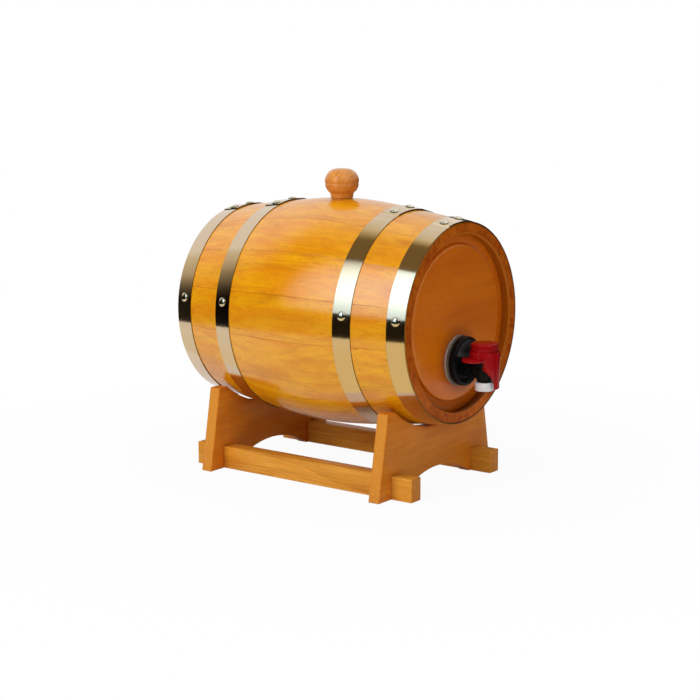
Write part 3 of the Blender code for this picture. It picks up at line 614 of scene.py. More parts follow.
def new_geometry_tree(name, numbers, others):
    """A geometry tree with named inputs and a material, which all end up as one mesh."""
    tree = bpy.data.node_groups.new(name, "GeometryNodeTree")
    kinds = {**others, **dict.fromkeys(numbers.split(", "), "Float"), "Finish": "Material"}
    for label, kind in kinds.items():
        tree.interface.new_socket(label, in_out="INPUT", socket_type=f"NodeSocket{kind}")
    tree.interface.new_socket("Mesh", in_out="OUTPUT", socket_type="NodeSocketGeometry")
    return tree, add_node(tree, "NodeGroupInput").outputs


def end_geometry_tree(geometry, material):
    """Makes the instances real, dresses them and hands them out."""
    tree = geometry.id_data
    real = add_node(tree, "GeometryNodeRealizeInstances", {0: geometry}).outputs[0]
    dressed = add_node(tree, "GeometryNodeSetMaterial", {"Geometry": real, "Material": material}).outputs[0]
    add_node(tree, "NodeGroupOutput", {"Mesh": dressed})


def grown_mesh(name, tree, values, seed_mesh=None):
    """Runs a tree with its named sizes and gives back a plain mesh."""
    holder = new_object(name, seed_mesh or bpy.data.meshes.new(name))
    modifier = holder.modifiers.new("growth", "NODES")
    modifier.node_group = tree
    for item in tree.interface.items_tree:
        if item.item_type == "SOCKET" and item.in_out == "INPUT" and item.name in values:
            modifier[item.identifier] = values[item.name]
    return finished_mesh(holder)


def grid_parts(tree):
    """The X, Y and Z of each point of a mesh."""
    return parts_of(add_node(tree, "GeometryNodeInputPosition").outputs[0])


def stored(geometry, name, value, data_type="FLOAT", domain="POINT"):
    """The geometry with a value kept on it under a name."""
    noted = {"Geometry": geometry, "Name": name, "Value": value}
    kind = "GeometryNodeStoreNamedAttribute"
    return add_node(geometry.id_data, kind, noted, data_type=data_type, domain=domain).outputs[0]


def reshaped(geometry, place, **more):
    """The geometry with each point moved to its place."""
    inputs = {"Geometry": geometry, "Position": place, **more}
    return add_node(geometry.id_data, "GeometryNodeSetPosition", inputs).outputs[0]


def round_cask(radius, turn, along):
    """A place at a radius and a turn round the cask's axis."""
    across = times(radius, calc("SINE", turn))
    return vector_of(across, along, times(radius, calc("COSINE", turn)))


def edged(place, spans, edge):
    """Spreads a grid line's even steps so that the outermost step is a narrow edge."""
    size = calc("ABSOLUTE", place)
    last = calc("GREATER_THAN", size, 1 - 1 / spans)
    inner = times(place, calc("DIVIDE", minus(1.0, edge), 1 - 2 / spans))
    outer = times(calc("SIGN", place), last)
    return plus(times(inner, minus(1.0, last)), outer), last


def bend_of(along, rounding):
    squared = calc("POWER", calc("DIVIDE", along, rounding), 2.0)
    return minus(calc("SQRT", plus(squared, 1.0)), 1.0)


def stave_tree():
    numbers = (
        "Half Length, Belly Radius, Chime Radius, Rounding, Thickness, "
        "Joint Width, Joint Depth, Chamfer, First Joint"
    )
    others = {"Stave Count": "Int", "Centre": "Vector"}
    tree, given = new_geometry_tree("bent_staves", numbers, others)
    half, belly, chamfer = given["Half Length"], given["Belly Radius"], given["Chamfer"]
    spans_across, spans_along = 10, 56
    counts = {"Vertices X": spans_across + 1, "Vertices Y": spans_along + 1, "Vertices Z": 2}
    block = add_node(tree, "GeometryNodeMeshCube", {"Size": (2, 2, 2), **counts}).outputs[0]
    grid = grid_parts(tree)
    pitch = calc("DIVIDE", math.tau, given["Stave Count"])
    half_turn = calc("DIVIDE", pitch, 2.0)
    joint_turn = calc("DIVIDE", given["Joint Width"], belly)
    across, at_joint = edged(grid["X"], spans_across, calc("DIVIDE", joint_turn, half_turn))
    along, at_end = edged(grid["Y"], spans_along, calc("DIVIDE", chamfer, half))
    turn = times(across, minus(half_turn, times(joint_turn, 0.15)))
    place_along = times(along, half)
    whole_bend = bend_of(half, given["Rounding"])
    share = calc("DIVIDE", bend_of(place_along, given["Rounding"]), whole_bend)
    skin = minus(belly, times(minus(belly, given["Chime Radius"]), share))
    drop = times(at_joint, given["Joint Depth"])
    eased = times(at_end, times(chamfer, 0.3))
    outer = minus(skin, calc("MAXIMUM", drop, eased))
    inner = plus(minus(skin, given["Thickness"]), times(at_end, chamfer))
    is_outer = calc("GREATER_THAN", grid["Z"], 0.0)
    radius = plus(inner, times(minus(outer, inner), is_outer))
    grain_place = vector_of(times(turn, belly), place_along, minus(radius, belly))
    noted = stored(block, "grain_place", grain_place, "FLOAT_VECTOR")
    bent = reshaped(noted, round_cask(radius, turn, place_along))
    row = add_node(tree, "GeometryNodeMeshLine", {"Count": given["Stave Count"], "Offset": (0, 0, 0)})
    index = add_node(tree, "GeometryNodeInputIndex").outputs[0]
    middle = times(plus(index, 0.5), pitch)
    around = times(plus(middle, given["First Joint"]), -1.0)
    spread = {"Points": row.outputs[0], "Instance": bent, "Rotation": vector_of(0.0, around)}
    ring = add_node(tree, "GeometryNodeInstanceOnPoints", spread).outputs[0]
    number = add_node(tree, "GeometryNodeInputIndex").outputs[0]
    numbered = stored(ring, "stave_number", number, domain="INSTANCE")
    real = add_node(tree, "GeometryNodeRealizeInstances", {0: numbered}).outputs[0]
    moved = add_node(tree, "GeometryNodeTransform", {"Geometry": real, "Translation": given["Centre"]})
    end_geometry_tree(moved.outputs[0], given["Finish"])
    return tree


HONEY_LINE = (0.38, 0.080, 0.001, 1)
HONEY_TONES = (0.88, 0.405, 0.003, 1), (0.80, 0.290, 0.001, 1), HONEY_LINE
CHIME_LIGHT = (0.56, 0.130, 0.008, 1)
CHIME_RED = (0.30, 0.045, 0.003, 1)
# Chime colours with painted light: a painted highlight, partly real wear, on the end face's inner edge;
# painted shade on its outer edge by the hoop; painted shade on the bare inner wall.
CHIME_WEAR_AND_HIGHLIGHT = (0.66, 0.22, 0.035, 1)
OUTER_EDGE_SHADE = (0.12, 0.022, 0.003, 1)
BARE_WALL_SHADED = (0.44, 0.115, 0.008, 1)
LOW_WALL_SHADE = (0.14, 0.024, 0.002, 1)
JOINT_PLACE = BELLY_RADIUS * math.pi / STAVE_COUNT
WEAR_HIGHLIGHT_SPAN = (-0.0171, -0.0177)
OUTER_SHADE_SPAN = (-0.0117, -0.0113)
INSIDE_SPAN = (-0.0168, -0.0176)
LOW_SHADE_SPAN = (AXIS_HEIGHT - 0.034, AXIS_HEIGHT - 0.047)


def stave_look():
    """Honey lacquer over each stave's own grain, with bare red end grain, and painted light at the chime: a
    highlight, partly real wear, on the end face's inner edge, shade on its outer edge, and shade on the bare
    inner wall, darker towards the bottom.
    """
    look, tree, shader = new_look(
        "honey_stave", Roughness=0.5, Specular_IOR_Level=0.0, Coat_Roughness=0.17, Coat_IOR=1.8
    )
    number = add_node(tree, "ShaderNodeAttribute", attribute_name="stave_number").outputs["Fac"]
    place = add_node(tree, "ShaderNodeAttribute", attribute_name="grain_place").outputs["Vector"]
    apart = vector_of(times(number, 0.137), times(number, 0.53))
    own_place = vector_calc("ADD", place, apart)[0]
    grain = grained(own_place, Fibres_Per_Metre=900.0, Figure=105.0, Fleck_Share=0.40)
    skin = grain_colour(grain, HONEY_TONES, (0.24, 0.16, 0.66))
    cloud = noise(stretched(own_place, (1, 0.2, 1)), 62.0, 3.0, Distortion=0.8)
    skin = mixed(ranged(cloud, 0.5, 0.68, 0.0, 0.24), skin, HONEY_LINE)
    chance = add_node(tree, "ShaderNodeTexWhiteNoise", {"W": number}, noise_dimensions="1D").outputs["Value"]
    skin = mixed(times(chance, 0.11), skin, HONEY_LINE)
    spot = parts_of(place)
    from_middle = calc("ABSOLUTE", spot["X"])
    at_joint = ranged(from_middle, JOINT_PLACE - 0.0006, JOINT_PLACE - 0.0001, 0.0, 0.42)
    at_joint = times(at_joint, ranged(grain["Tone"], 0.3, 0.6))
    skin = mixed(at_joint, skin, HONEY_LINE)
    ray = noise(stretched(own_place, (1, 0.1, 0.10)), 1100.0, 3.0, Roughness=0.6)
    patch = noise(own_place, 160.0, 2.0)
    deepness = plus(times(chance, 0.55), ranged(patch, 0.35, 0.7, -0.15, 0.35))
    redness = calc("ADD", deepness, ranged(ray, 0.35, 0.7, -0.2, 0.3), clamp=True)
    ends = mixed(redness, CHIME_LIGHT, CHIME_RED)
    # Painted highlight, partly real wear, along the end face's inner edge.
    ends = mixed(ranged(spot["Z"], *WEAR_HIGHLIGHT_SPAN, 0.0, 0.3), ends, CHIME_WEAR_AND_HIGHLIGHT)
    # Painted shade: a dark line along the end face's outer edge, where it meets the hoop.
    ends = mixed(ranged(spot["Z"], *OUTER_SHADE_SPAN, 0.0, 0.8), ends, OUTER_EDGE_SHADE)
    end_grain = facing_along(tree, "Y", 0.75, 0.95, 1.0)
    inside = ranged(spot["Z"], *INSIDE_SPAN)
    height = parts_of(object_place(tree))["Z"]
    # The bare inner wall inside the chime carries painted shade, darker towards the bottom.
    wall = mixed(ranged(height, *LOW_SHADE_SPAN), BARE_WALL_SHADED, LOW_WALL_SHADE)
    skin = mixed(times(inside, 0.9), skin, wall)
    tree.links.new(mixed(end_grain, skin, ends), shader.inputs["Base Color"])
    bare = times(calc("MAXIMUM", end_grain, inside), 0.92)
    tree.links.new(minus(1.0, bare), shader.inputs["Coat Weight"])
    add_relief(shader, grain["Relief"], 0.05)
    return look


stave_sizes = {
    "Stave Count": STAVE_COUNT,
    "Half Length": CASK_LENGTH / 2,
    "Belly Radius": BELLY_RADIUS,
    "Chime Radius": CHIME_RADIUS,
    "Rounding": BELLY_ROUNDING,
    "Thickness": STAVE_THICKNESS,
    "Joint Width": JOINT_WIDTH,
    "Joint Depth": JOINT_DEPTH,
    "Chamfer": CHIME_CHAMFER,
    "First Joint": FIRST_JOINT,
    "Centre": (0, CASK_MIDDLE, AXIS_HEIGHT),
    "Finish": stave_look(),
}
staves = grown_mesh("cask_staves", stave_tree(), stave_sizes)


def cut(mesh, *cutters, operation="DIFFERENCE"):
    """A mesh with others cut out of it or joined to it, all in the mesh's own material."""
    holder = new_object("holder", mesh)
    tools = [new_object("cutter", cutter) for cutter in cutters]
    for tool in tools:
        modifier = holder.modifiers.new("cut", "BOOLEAN")
        modifier.operation = operation
        modifier.object = tool
        modifier.solver = "EXACT"
    result = finished_mesh(holder)
    for tool in tools:
        bpy.data.objects.remove(tool, do_unlink=True)
    finishes = [finish for finish in result.materials if finish]
    result.materials.clear()
    for finish in finishes[:1]:
        result.materials.append(finish)
    result.polygons.foreach_set("material_index", [0] * len(result.polygons))
    return result


def turned_mesh(name, profile, centre, segments=96, axis="Z"):
    """A closed profile of (radius, height) points turned round an axis through a place."""
    mesh = bpy.data.meshes.new(name)
    shape = bmesh.new()
    rings = []
    for step in range(segments):
        turn = math.tau * step / segments
        rings.append([shape.verts.new((r * math.cos(turn), r * math.sin(turn), h)) for r, h in profile])
    for step in range(segments):
        here, there = rings[step], rings[(step + 1) % segments]
        for index in range(len(profile)):
            after = (index + 1) % len(profile)
            if profile[index][0] or profile[after][0]:
                shape.faces.new((here[index], here[after], there[after], there[index]))
    bmesh.ops.remove_doubles(shape, verts=shape.verts, dist=1e-7)
    bmesh.ops.dissolve_degenerate(shape, edges=shape.edges, dist=1e-8)
    bmesh.ops.recalc_face_normals(shape, faces=shape.faces)
    if axis != "Z":
        tilt = Matrix.Rotation(math.radians(90 if axis == "-Y" else -90), 3, "X")
        bmesh.ops.rotate(shape, verts=shape.verts, cent=(0, 0, 0), matrix=tilt)
    bmesh.ops.translate(shape, vec=Vector(centre), verts=shape.verts)
    shape.to_mesh(mesh)
    shape.free()
    return mesh


def rod(radius, low, high, centre, segments=64, axis="Z"):
    return turned_mesh("rod", [(0, high), (radius, high), (radius, low), (0, low)], centre, segments, axis)


bung_hole = rod(BUNG_HOLE_RADIUS, low=0.15, high=0.22, centre=(0, BUNG_PLACE, 0))
staves = smoothed(cut(staves, bung_hole), 9)
stave_nodes = [f"stave_{number:02d}" for number in range(1, STAVE_COUNT + 1)]
show("cask_staves", staves, None, "cask", "honey_lacquered_wood", *stave_nodes)


# The heads are turned discs of the same oak with a raised field, a cut line round it and a cove
# out to the groove that holds them in the staves.

HEAD_RECESS = 0.004
HEAD_BEVEL_DROP = 0.0025
HEAD_EDGE_RADIUS = 0.0599
HEAD_THICKNESS = 0.0085
HEAD_SEGMENTS = 160
HEAD_FACE = CASK_MIDDLE - CASK_LENGTH / 2 + HEAD_RECESS
REAR_FACE = CASK_MIDDLE + CASK_LENGTH / 2 - HEAD_RECESS
TAP_HEIGHT = AXIS_HEIGHT - 0.0252
GLAND_HOLE_RADIUS = 0.0123
HEAD_TONES = (0.76, 0.188, 0.003, 1), (0.69, 0.150, 0.002, 1), (0.42, 0.075, 0.002, 1)
# The recess and tap colours are painted shade, and the rise colour is a painted highlight.
RECESS_SHADE = (0.30, 0.055, 0.003, 1)
RISE_HIGHLIGHT = (0.92, 0.42, 0.09, 1)
TAP_SHADE = (0.36, 0.060, 0.002, 1)
RECESS_SPAN = (0.0526, 0.0532)
RISE_OUTER_SPAN = (0.0524, 0.0519)
RISE_INNER_SPAN = (0.0505, 0.0512)
TAP_SHADE_SPAN = (0.026, 0.0172)

head_profile = [
    (0, 0),
    (0.0494, 0),
    (0.0503, -0.0001),
    (0.0511, -0.0003),
    (0.0518, -0.0007),
    (0.0523, -0.0012),
    (0.05255, -0.0018),
    (0.0527, -0.0024),
    (0.0528, -0.0029),
    (0.0530, -0.0029),
    (0.0531, -HEAD_BEVEL_DROP - 0.0001),
    (0.0533, -HEAD_BEVEL_DROP),
    (HEAD_EDGE_RADIUS, -HEAD_BEVEL_DROP),
    (HEAD_EDGE_RADIUS, -HEAD_THICKNESS),
    (0, -HEAD_THICKNESS),
]
head_look = wood_look(
    "oiled_head",
    HEAD_TONES,
    (0.07, 0.15, 0.5),
    turned=(0, 0, 90),
    figure=48.0,
    flecks=0.40,
    Roughness=0.36,
    Specular_IOR_Level=0.15,
    Coat_Weight=0.2,
    Coat_Roughness=0.15,
)


def distance_from(tree, height):
    """How far a place is from the level axis at a height over the middle."""
    level = {"Vector": object_place(tree), "Location": (0, 0, -height), "Scale": (1, 0, 1)}
    flat = add_node(tree, "ShaderNodeMapping", level).outputs[0]
    return vector_calc("LENGTH", flat)["Value"]


def paint_head_shade_and_highlight(look):
    """Paints shade into the recess, most of all below, and round the tap, and paints a highlight on the
    field's rounded rise.
    """
    tree = look.node_tree
    shader = tree.nodes["Principled BSDF"]
    wood = shader.inputs["Base Color"].links[0].from_socket
    spot = parts_of(object_place(tree))
    out = distance_from(tree, AXIS_HEIGHT)
    # Painted shade in the recess round the field, darker towards the bottom.
    low = ranged(spot["Z"], AXIS_HEIGHT - 0.020, AXIS_HEIGHT - 0.050, 0.25, 0.50)
    wood = mixed(times(low, ranged(out, *RECESS_SPAN)), wood, RECESS_SHADE)
    # Painted highlight on the field's rounded rise.
    rise_highlight = times(ranged(out, *RISE_INNER_SPAN), ranged(out, *RISE_OUTER_SPAN))
    wood = mixed(times(rise_highlight, 0.24), wood, RISE_HIGHLIGHT)
    # Painted shade on the front head round the tap's gland.
    near_tap = ranged(distance_from(tree, TAP_HEIGHT), *TAP_SHADE_SPAN)
    near_tap = times(near_tap, ranged(spot["Y"], 0.0, -0.02))
    wood = mixed(times(near_tap, 0.5), wood, TAP_SHADE)
    tree.links.new(wood, shader.inputs["Base Color"])


paint_head_shade_and_highlight(head_look)
front_head = turned_mesh("front_head", head_profile, (0, HEAD_FACE, AXIS_HEIGHT), HEAD_SEGMENTS, "-Y")
gland_hole = rod(GLAND_HOLE_RADIUS, HEAD_FACE - 0.01, HEAD_FACE + 0.02, (0, 0, TAP_HEIGHT), axis="+Y")
front_head = smoothed(cut(front_head, gland_hole), 28)
show("front_head_disc", front_head, head_look, "cask", "head_wood", "front_head")
rear_head = turned_mesh("rear_head", head_profile, (0, REAR_FACE, AXIS_HEIGHT), HEAD_SEGMENTS, "+Y")
show("rear_head_disc", smoothed(rear_head, 28), head_look, "cask", "head_wood", "rear_head")


# The hoops are strips of pale polished brass, bent to the barrel's taper with their ends lapped
# on top, and nailed through.

HOOP_WIDTH = 0.013
HOOP_THICKNESS = 0.0005
HOOP_GAP = 0.00005
HOOP_CENTRES = (-0.0894, -0.0504, 0.0504, 0.0894)
HOOP_NODES = ("front_end_hoop", "front_quarter_hoop", "rear_quarter_hoop", "rear_end_hoop")
LAP_HIDDEN_END = math.radians(-6.7)
LAP_TURN = math.radians(21)
BRASS_TONES = (0.74, 0.575, 0.40, 1), (0.70, 0.535, 0.36, 1)
# The sheared edges' colour is the edge's own duller metal with painted shade in it.
SHEARED_EDGE_AND_SHADE = (0.12, 0.078, 0.042, 1)


def hoop_tree():
    numbers = "Width, Thickness, Low Radius, High Radius, Lap Start, Lap Turn"
    tree, given = new_geometry_tree("lapped_hoop", numbers, {"Centre": "Vector"})
    counts = {"Size": (1, 1, 1), "Vertices X": 289, "Vertices Y": 5, "Vertices Z": 2}
    strip = add_node(tree, "GeometryNodeMeshCube", counts).outputs[0]
    grid = grid_parts(tree)
    run = times(plus(grid["X"], 0.5), plus(given["Lap Turn"], math.tau))
    turn = times(plus(run, given["Lap Start"]), -1.0)
    lift = ranged(run, math.tau - math.radians(5), math.tau - math.radians(0.5))
    slope = minus(given["High Radius"], given["Low Radius"])
    seat = plus(given["Low Radius"], times(slope, plus(grid["Y"], 0.5)))
    layer = times(plus(grid["Z"], plus(lift, 0.5)), given["Thickness"])
    spot = round_cask(plus(seat, layer), turn, times(grid["Y"], given["Width"]))
    bent = reshaped(strip, spot, Offset=given["Centre"])
    end_geometry_tree(bent, given["Finish"])
    return tree


def brass_look():
    """Rolled brass, darker on its sheared edges than on its face: partly the edges' own duller metal, partly
    painted shade.
    """
    look, tree, shader = new_look("pale_brass", Metallic=1.0)
    place = object_place(tree)
    rolled = noise(stretched(place, (60, 2200, 60)), 1.0, 2.0)
    brass = mixed(noise(place, 90.0, 3.0), *BRASS_TONES)
    # Sheared edges are darker: partly their own duller metal, partly painted shade.
    sheared = facing_along(tree, "Y", 0.6, 0.9, 1.0)
    tree.links.new(mixed(sheared, brass, SHEARED_EDGE_AND_SHADE), shader.inputs["Base Color"])
    polish = plus(ranged(rolled, 0.2, 0.8, 0.07, 0.13), times(sheared, 0.4))
    tree.links.new(polish, shader.inputs["Roughness"])
    add_relief(shader, rolled, 0.03, 0.0001)
    return look


BRASS = brass_look()
lapped_hoop = hoop_tree()
for along, node in zip(HOOP_CENTRES, HOOP_NODES):
    hoop_sizes = {
        "Width": HOOP_WIDTH,
        "Thickness": HOOP_THICKNESS,
        "Low Radius": stave_radius(along - HOOP_WIDTH / 2) + HOOP_GAP,
        "High Radius": stave_radius(along + HOOP_WIDTH / 2) + HOOP_GAP,
        "Lap Start": LAP_HIDDEN_END,
        "Lap Turn": LAP_TURN,
        "Centre": (0, CASK_MIDDLE + along, AXIS_HEIGHT),
        "Finish": BRASS,
    }
    strip = smoothed(grown_mesh(node, lapped_hoop, hoop_sizes))
    show(node + "_strip", strip, None, "cask", "pale_brass", node)


# The hoop nails are small dome-headed nails, plated like the hoops: two through each lap and
# one on each side.

NAIL_ANGLES = [math.radians(angle) for angle in (10.8, -3.2, 82.1, -74.5)]
LAPPED_NAILS = 2
NAIL_RADIUS = 0.0031
NAIL_HEIGHT = 0.0013
NAIL_SEAT = 0.0001
NAIL_SKIRT = -0.12
PLATING_TONES = (0.80, 0.74, 0.60, 1), (0.66, 0.58, 0.42, 1)
# The rim colour is painted shade round each nail head, where it meets the hoop.
RIM_SHADE = (0.20, 0.15, 0.10, 1)


def nail_tree():
    tree, given = new_geometry_tree("dome_nails", "Head Radius, Head Height", {"Spots": "Geometry"})
    ball = add_node(tree, "GeometryNodeMeshUVSphere", {"Segments": 32, "Rings": 20, "Radius": 1.0}).outputs[0]
    grid = grid_parts(tree)
    height = times(calc("MAXIMUM", grid["Z"], NAIL_SKIRT), given["Head Height"])
    wide, deep = (times(grid[axis], given["Head Radius"]) for axis in "XY")
    marked = stored(ball, "crown", grid["Z"])
    dome = reshaped(marked, vector_of(wide, deep, height))
    named = {"Name": "outward"}
    outward = add_node(tree, "GeometryNodeInputNamedAttribute", named, data_type="FLOAT_VECTOR").outputs[0]
    facing = add_node(tree, "FunctionNodeAlignRotationToVector", {"Vector": outward}, axis="Z").outputs[0]
    spread = {"Points": given["Spots"], "Instance": dome, "Rotation": facing}
    nails = add_node(tree, "GeometryNodeInstanceOnPoints", spread).outputs[0]
    end_geometry_tree(nails, given["Finish"])
    return tree


def nail_look():
    """Plating that is a little clouded, with painted shade round the head's rim."""
    look, tree, shader = new_look("nail_plating", Metallic=1.0)
    cloud = noise(object_place(tree), 700.0, 2.0)
    crown = add_node(tree, "ShaderNodeAttribute", attribute_name="crown").outputs["Fac"]
    plating = mixed(cloud, *PLATING_TONES)
    # Painted shade round the head's rim, where it meets the hoop.
    plating = mixed(ranged(crown, 0.04, 0.24), RIM_SHADE, plating)
    tree.links.new(plating, shader.inputs["Base Color"])
    tree.links.new(ranged(cloud, 0.3, 0.7, 0.08, 0.18), shader.inputs["Roughness"])
    return look


nail_spots, nail_normals, nail_nodes = [], [], []
for along, node in zip(HOOP_CENTRES, HOOP_NODES):
    slope = (stave_radius(along + HOOP_WIDTH / 2) - stave_radius(along - HOOP_WIDTH / 2)) / HOOP_WIDTH
    for number, angle in enumerate(NAIL_ANGLES):
        layers = 2 if number < LAPPED_NAILS else 1
        radius = stave_radius(along) + HOOP_GAP + layers * HOOP_THICKNESS + NAIL_SEAT
        height = AXIS_HEIGHT + radius * math.cos(angle)
        nail_spots.append((-radius * math.sin(angle), CASK_MIDDLE + along, height))
        nail_normals.append(Vector((-math.sin(angle), -slope, math.cos(angle))).normalized())
        nail_nodes.append(f"{node.removesuffix('_hoop')}_nail_{number + 1}")
spots = bpy.data.meshes.new("nail_spots")
spots.from_pydata(nail_spots, [], [])
outward = spots.attributes.new("outward", "FLOAT_VECTOR", "POINT")
for item, normal in zip(outward.data, nail_normals):
    item.vector = normal
nail_sizes = {"Head Radius": NAIL_RADIUS, "Head Height": NAIL_HEIGHT, "Finish": nail_look()}
nails = smoothed(grown_mesh("hoop_nails", nail_tree(), nail_sizes, spots))
show("hoop_nails", nails, None, "cask", "nail_steel", *nail_nodes)


# The bung is turned from one piece: a knob with a cut line round its widest place, a waist, and
# a tapered plug that wedges in the bung hole.

BUNG_SEAT = AXIS_HEIGHT + BELLY_RADIUS + 0.0003
BUNG_TONES = (0.76, 0.31, 0.058, 1), (0.64, 0.22, 0.028, 1), (0.36, 0.10, 0.010, 1)

bung_profile = [
    (0, 0.0200),
    (0.0030, 0.01992),
    (0.0050, 0.01968),
    (0.0065, 0.01925),
    (0.0078, 0.01858),
    (0.0090, 0.01765),
    (0.0100, 0.01650),
    (0.0108, 0.01520),
    (0.0114, 0.01390),
    (0.0117, 0.01280),
    (0.0118, 0.01190),
    (0.01177, 0.01100),
    (0.01163, 0.01025),
    (0.01135, 0.01000),
    (0.01133, 0.00980),
    (0.01157, 0.00955),
    (0.0115, 0.00850),
    (0.0113, 0.00750),
    (0.0110, 0.00680),
    (0.0107, 0.00610),
    (0.01035, 0.00540),
    (0.0099, 0.00470),
    (0.0093, 0.00410),
    (0.0086, 0.00350),
    (0.0081, 0.00290),
    (0.0079, 0.00220),
    (0.0078, 0.00140),
    (0.0078, 0.00040),
    (0.0076, 0.0),
    (0.0070, 0.0),
    (0.0062, -0.013),
    (0, -0.013),
]
bung_look = wood_look(
    "turned_bung",
    BUNG_TONES,
    (0.22, 0.35, 0.5),
    turned=(0, 12, 70),
    figure=110.0,
    Roughness=0.36,
    Specular_IOR_Level=0.2,
    Coat_Weight=0.55,
    Coat_Roughness=0.16,
)
bung = smoothed(turned_mesh("turned_bung", bung_profile, (0, BUNG_PLACE, BUNG_SEAT)), 50)
show("turned_bung", bung, bung_look, "bung", "bung_wood", "bung")


# The tap's gland is a moulded grey plastic collar. Its tube goes through the front head, and a
# hexagonal nut of the same plastic is screwed on it from inside the cask.

GLAND_RADIUS = 0.0171
GLAND_FLANGE = 0.0033
GLAND_TUBE_RADIUS = 0.012
GLAND_BORE = 0.0093
SEAT_GAP = 0.0003
NUT_RADIUS = 0.0165
NUT_BACK = -0.0088
NUT_FRONT = -0.0138
NUT_EDGE = 0.0004
TAP_SPOT = (0, HEAD_FACE, TAP_HEIGHT)
GREY_TONES = (0.50, 0.46, 0.40, 1), (0.40, 0.36, 0.30, 1)
GAP_SHADE = (0.05, 0.04, 0.03, 1)


def moulded_look(name, tones, roughness, **constants):
    """Moulded plastic with a faint cloud in its colour and gloss, and a fine moulding texture."""
    look, tree, shader = new_look(name, **constants)
    place = object_place(tree)
    cloud = noise(place, 350.0, 3.0)
    tree.links.new(mixed(ranged(cloud, 0.3, 0.7), *tones), shader.inputs["Base Color"])
    gloss = ranged(cloud, 0.3, 0.7, roughness - 0.04, roughness + 0.05)
    tree.links.new(gloss, shader.inputs["Roughness"])
    add_relief(shader, noise(place, 4200.0, 1.0), 0.08, 0.00005)
    return look


grey_moulding = moulded_look("grey_moulding", GREY_TONES, 0.24)
gland_tail = -HEAD_THICKNESS - 0.007
gland_front = SEAT_GAP + GLAND_FLANGE
gland_profile = [
    (GLAND_BORE, gland_front),
    (GLAND_RADIUS - 0.0012, gland_front),
    (GLAND_RADIUS - 0.0004, gland_front - 0.0003),
    (GLAND_RADIUS, gland_front - 0.0011),
    (GLAND_RADIUS, SEAT_GAP + 0.0003),
    (GLAND_RADIUS - 0.0002, SEAT_GAP),
    (GLAND_TUBE_RADIUS, SEAT_GAP),
    (GLAND_TUBE_RADIUS, gland_tail),
    (GLAND_BORE, gland_tail),
]


def darken_front(look):
    """Darkens the collar's front edge, where the tap's flange shuts the light out."""
    tree = look.node_tree
    shader = tree.nodes["Principled BSDF"]
    grey = shader.inputs["Base Color"].links[0].from_socket
    along = parts_of(object_place(tree))["Y"]
    front = HEAD_FACE - gland_front
    shut = ranged(along, front + 0.0015, front + 0.0010, 0.0, 0.85)
    tree.links.new(mixed(shut, grey, GAP_SHADE), shader.inputs["Base Color"])


darken_front(grey_moulding)
gland = smoothed(turned_mesh("gland_collar", gland_profile, TAP_SPOT, 128, "-Y"))
show("gland_collar", gland, grey_moulding, "cask", "grey_plastic", "tap_gland")
nut_profile = [(0, NUT_BACK), (NUT_RADIUS, NUT_BACK), (NUT_RADIUS, NUT_FRONT), (0, NUT_FRONT)]
nut_block = turned_mesh("gland_nut", nut_profile, TAP_SPOT, 6, "-Y")
nut_bore = rod(GLAND_HOLE_RADIUS, low=-0.02, high=0.0, centre=TAP_SPOT, axis="-Y")
nut = smoothed(rounded(cut(nut_block, nut_bore), NUT_EDGE, 2))
show("gland_hex_nut", nut, grey_moulding, "cask", "grey_plastic", "gland_nut")


# The tap body is one black moulding: a round flange and spigot, a level barrel, and an upright
# chamber that narrows to the nozzle. The bonnet's neck guides the valve stem.

GLAND_GAP = 0.0003
FLANGE_RADIUS = 0.0166
FLANGE_THICKNESS = 0.0048
SPOUT_REACH = 0.0128
BARREL_DROP = 0.0044
BARREL_RADIUS = 0.0060
CHAMBER_RADIUS = 0.0062
BONNET_TOP = TAP_HEIGHT + 0.002
SEAT_BOTTOM = TAP_HEIGHT - 0.0092
NOZZLE_RADIUS = 0.0046
NOZZLE_LOW = TAP_HEIGHT - 0.0155
SPIGOT_BORE = 0.0058
BARREL_BORE = 0.0036
BODY_EDGE = 0.00035
BLACK_TONES = (0.004, 0.0042, 0.005, 1), (0.008, 0.008, 0.009, 1)

black_moulding = moulded_look("black_moulding", BLACK_TONES, 0.32, Specular_IOR_Level=0.08)
flange_back = gland_front + GLAND_GAP
flange_front = flange_back + FLANGE_THICKNESS
SPOUT = Vector((0, HEAD_FACE - flange_front - SPOUT_REACH, 0))
flange_profile = [
    (0, flange_front - 0.0012),
    (FLANGE_RADIUS - 0.0036, flange_front - 0.0012),
    (FLANGE_RADIUS - 0.0030, flange_front - 0.0009),
    (FLANGE_RADIUS - 0.0026, flange_front - 0.0002),
    (FLANGE_RADIUS - 0.0021, flange_front),
    (FLANGE_RADIUS - 0.0012, flange_front),
    (FLANGE_RADIUS - 0.0004, flange_front - 0.0004),
    (FLANGE_RADIUS, flange_front - 0.0012),
    (FLANGE_RADIUS, flange_back + 0.0010),
    (FLANGE_RADIUS - 0.0003, flange_back + 0.0003),
    (FLANGE_RADIUS - 0.0010, flange_back),
    (GLAND_BORE - GLAND_GAP, flange_back),
    (GLAND_BORE - GLAND_GAP, flange_back - 0.012),
    (0, flange_back - 0.012),
]
flange = turned_mesh("flange", flange_profile, TAP_SPOT, 128, "-Y")
barrel_end = flange_front + SPOUT_REACH
barrel_spot = (0, HEAD_FACE, TAP_HEIGHT - BARREL_DROP)
barrel = rod(BARREL_RADIUS, flange_back + 0.001, barrel_end, barrel_spot, 96, "-Y")
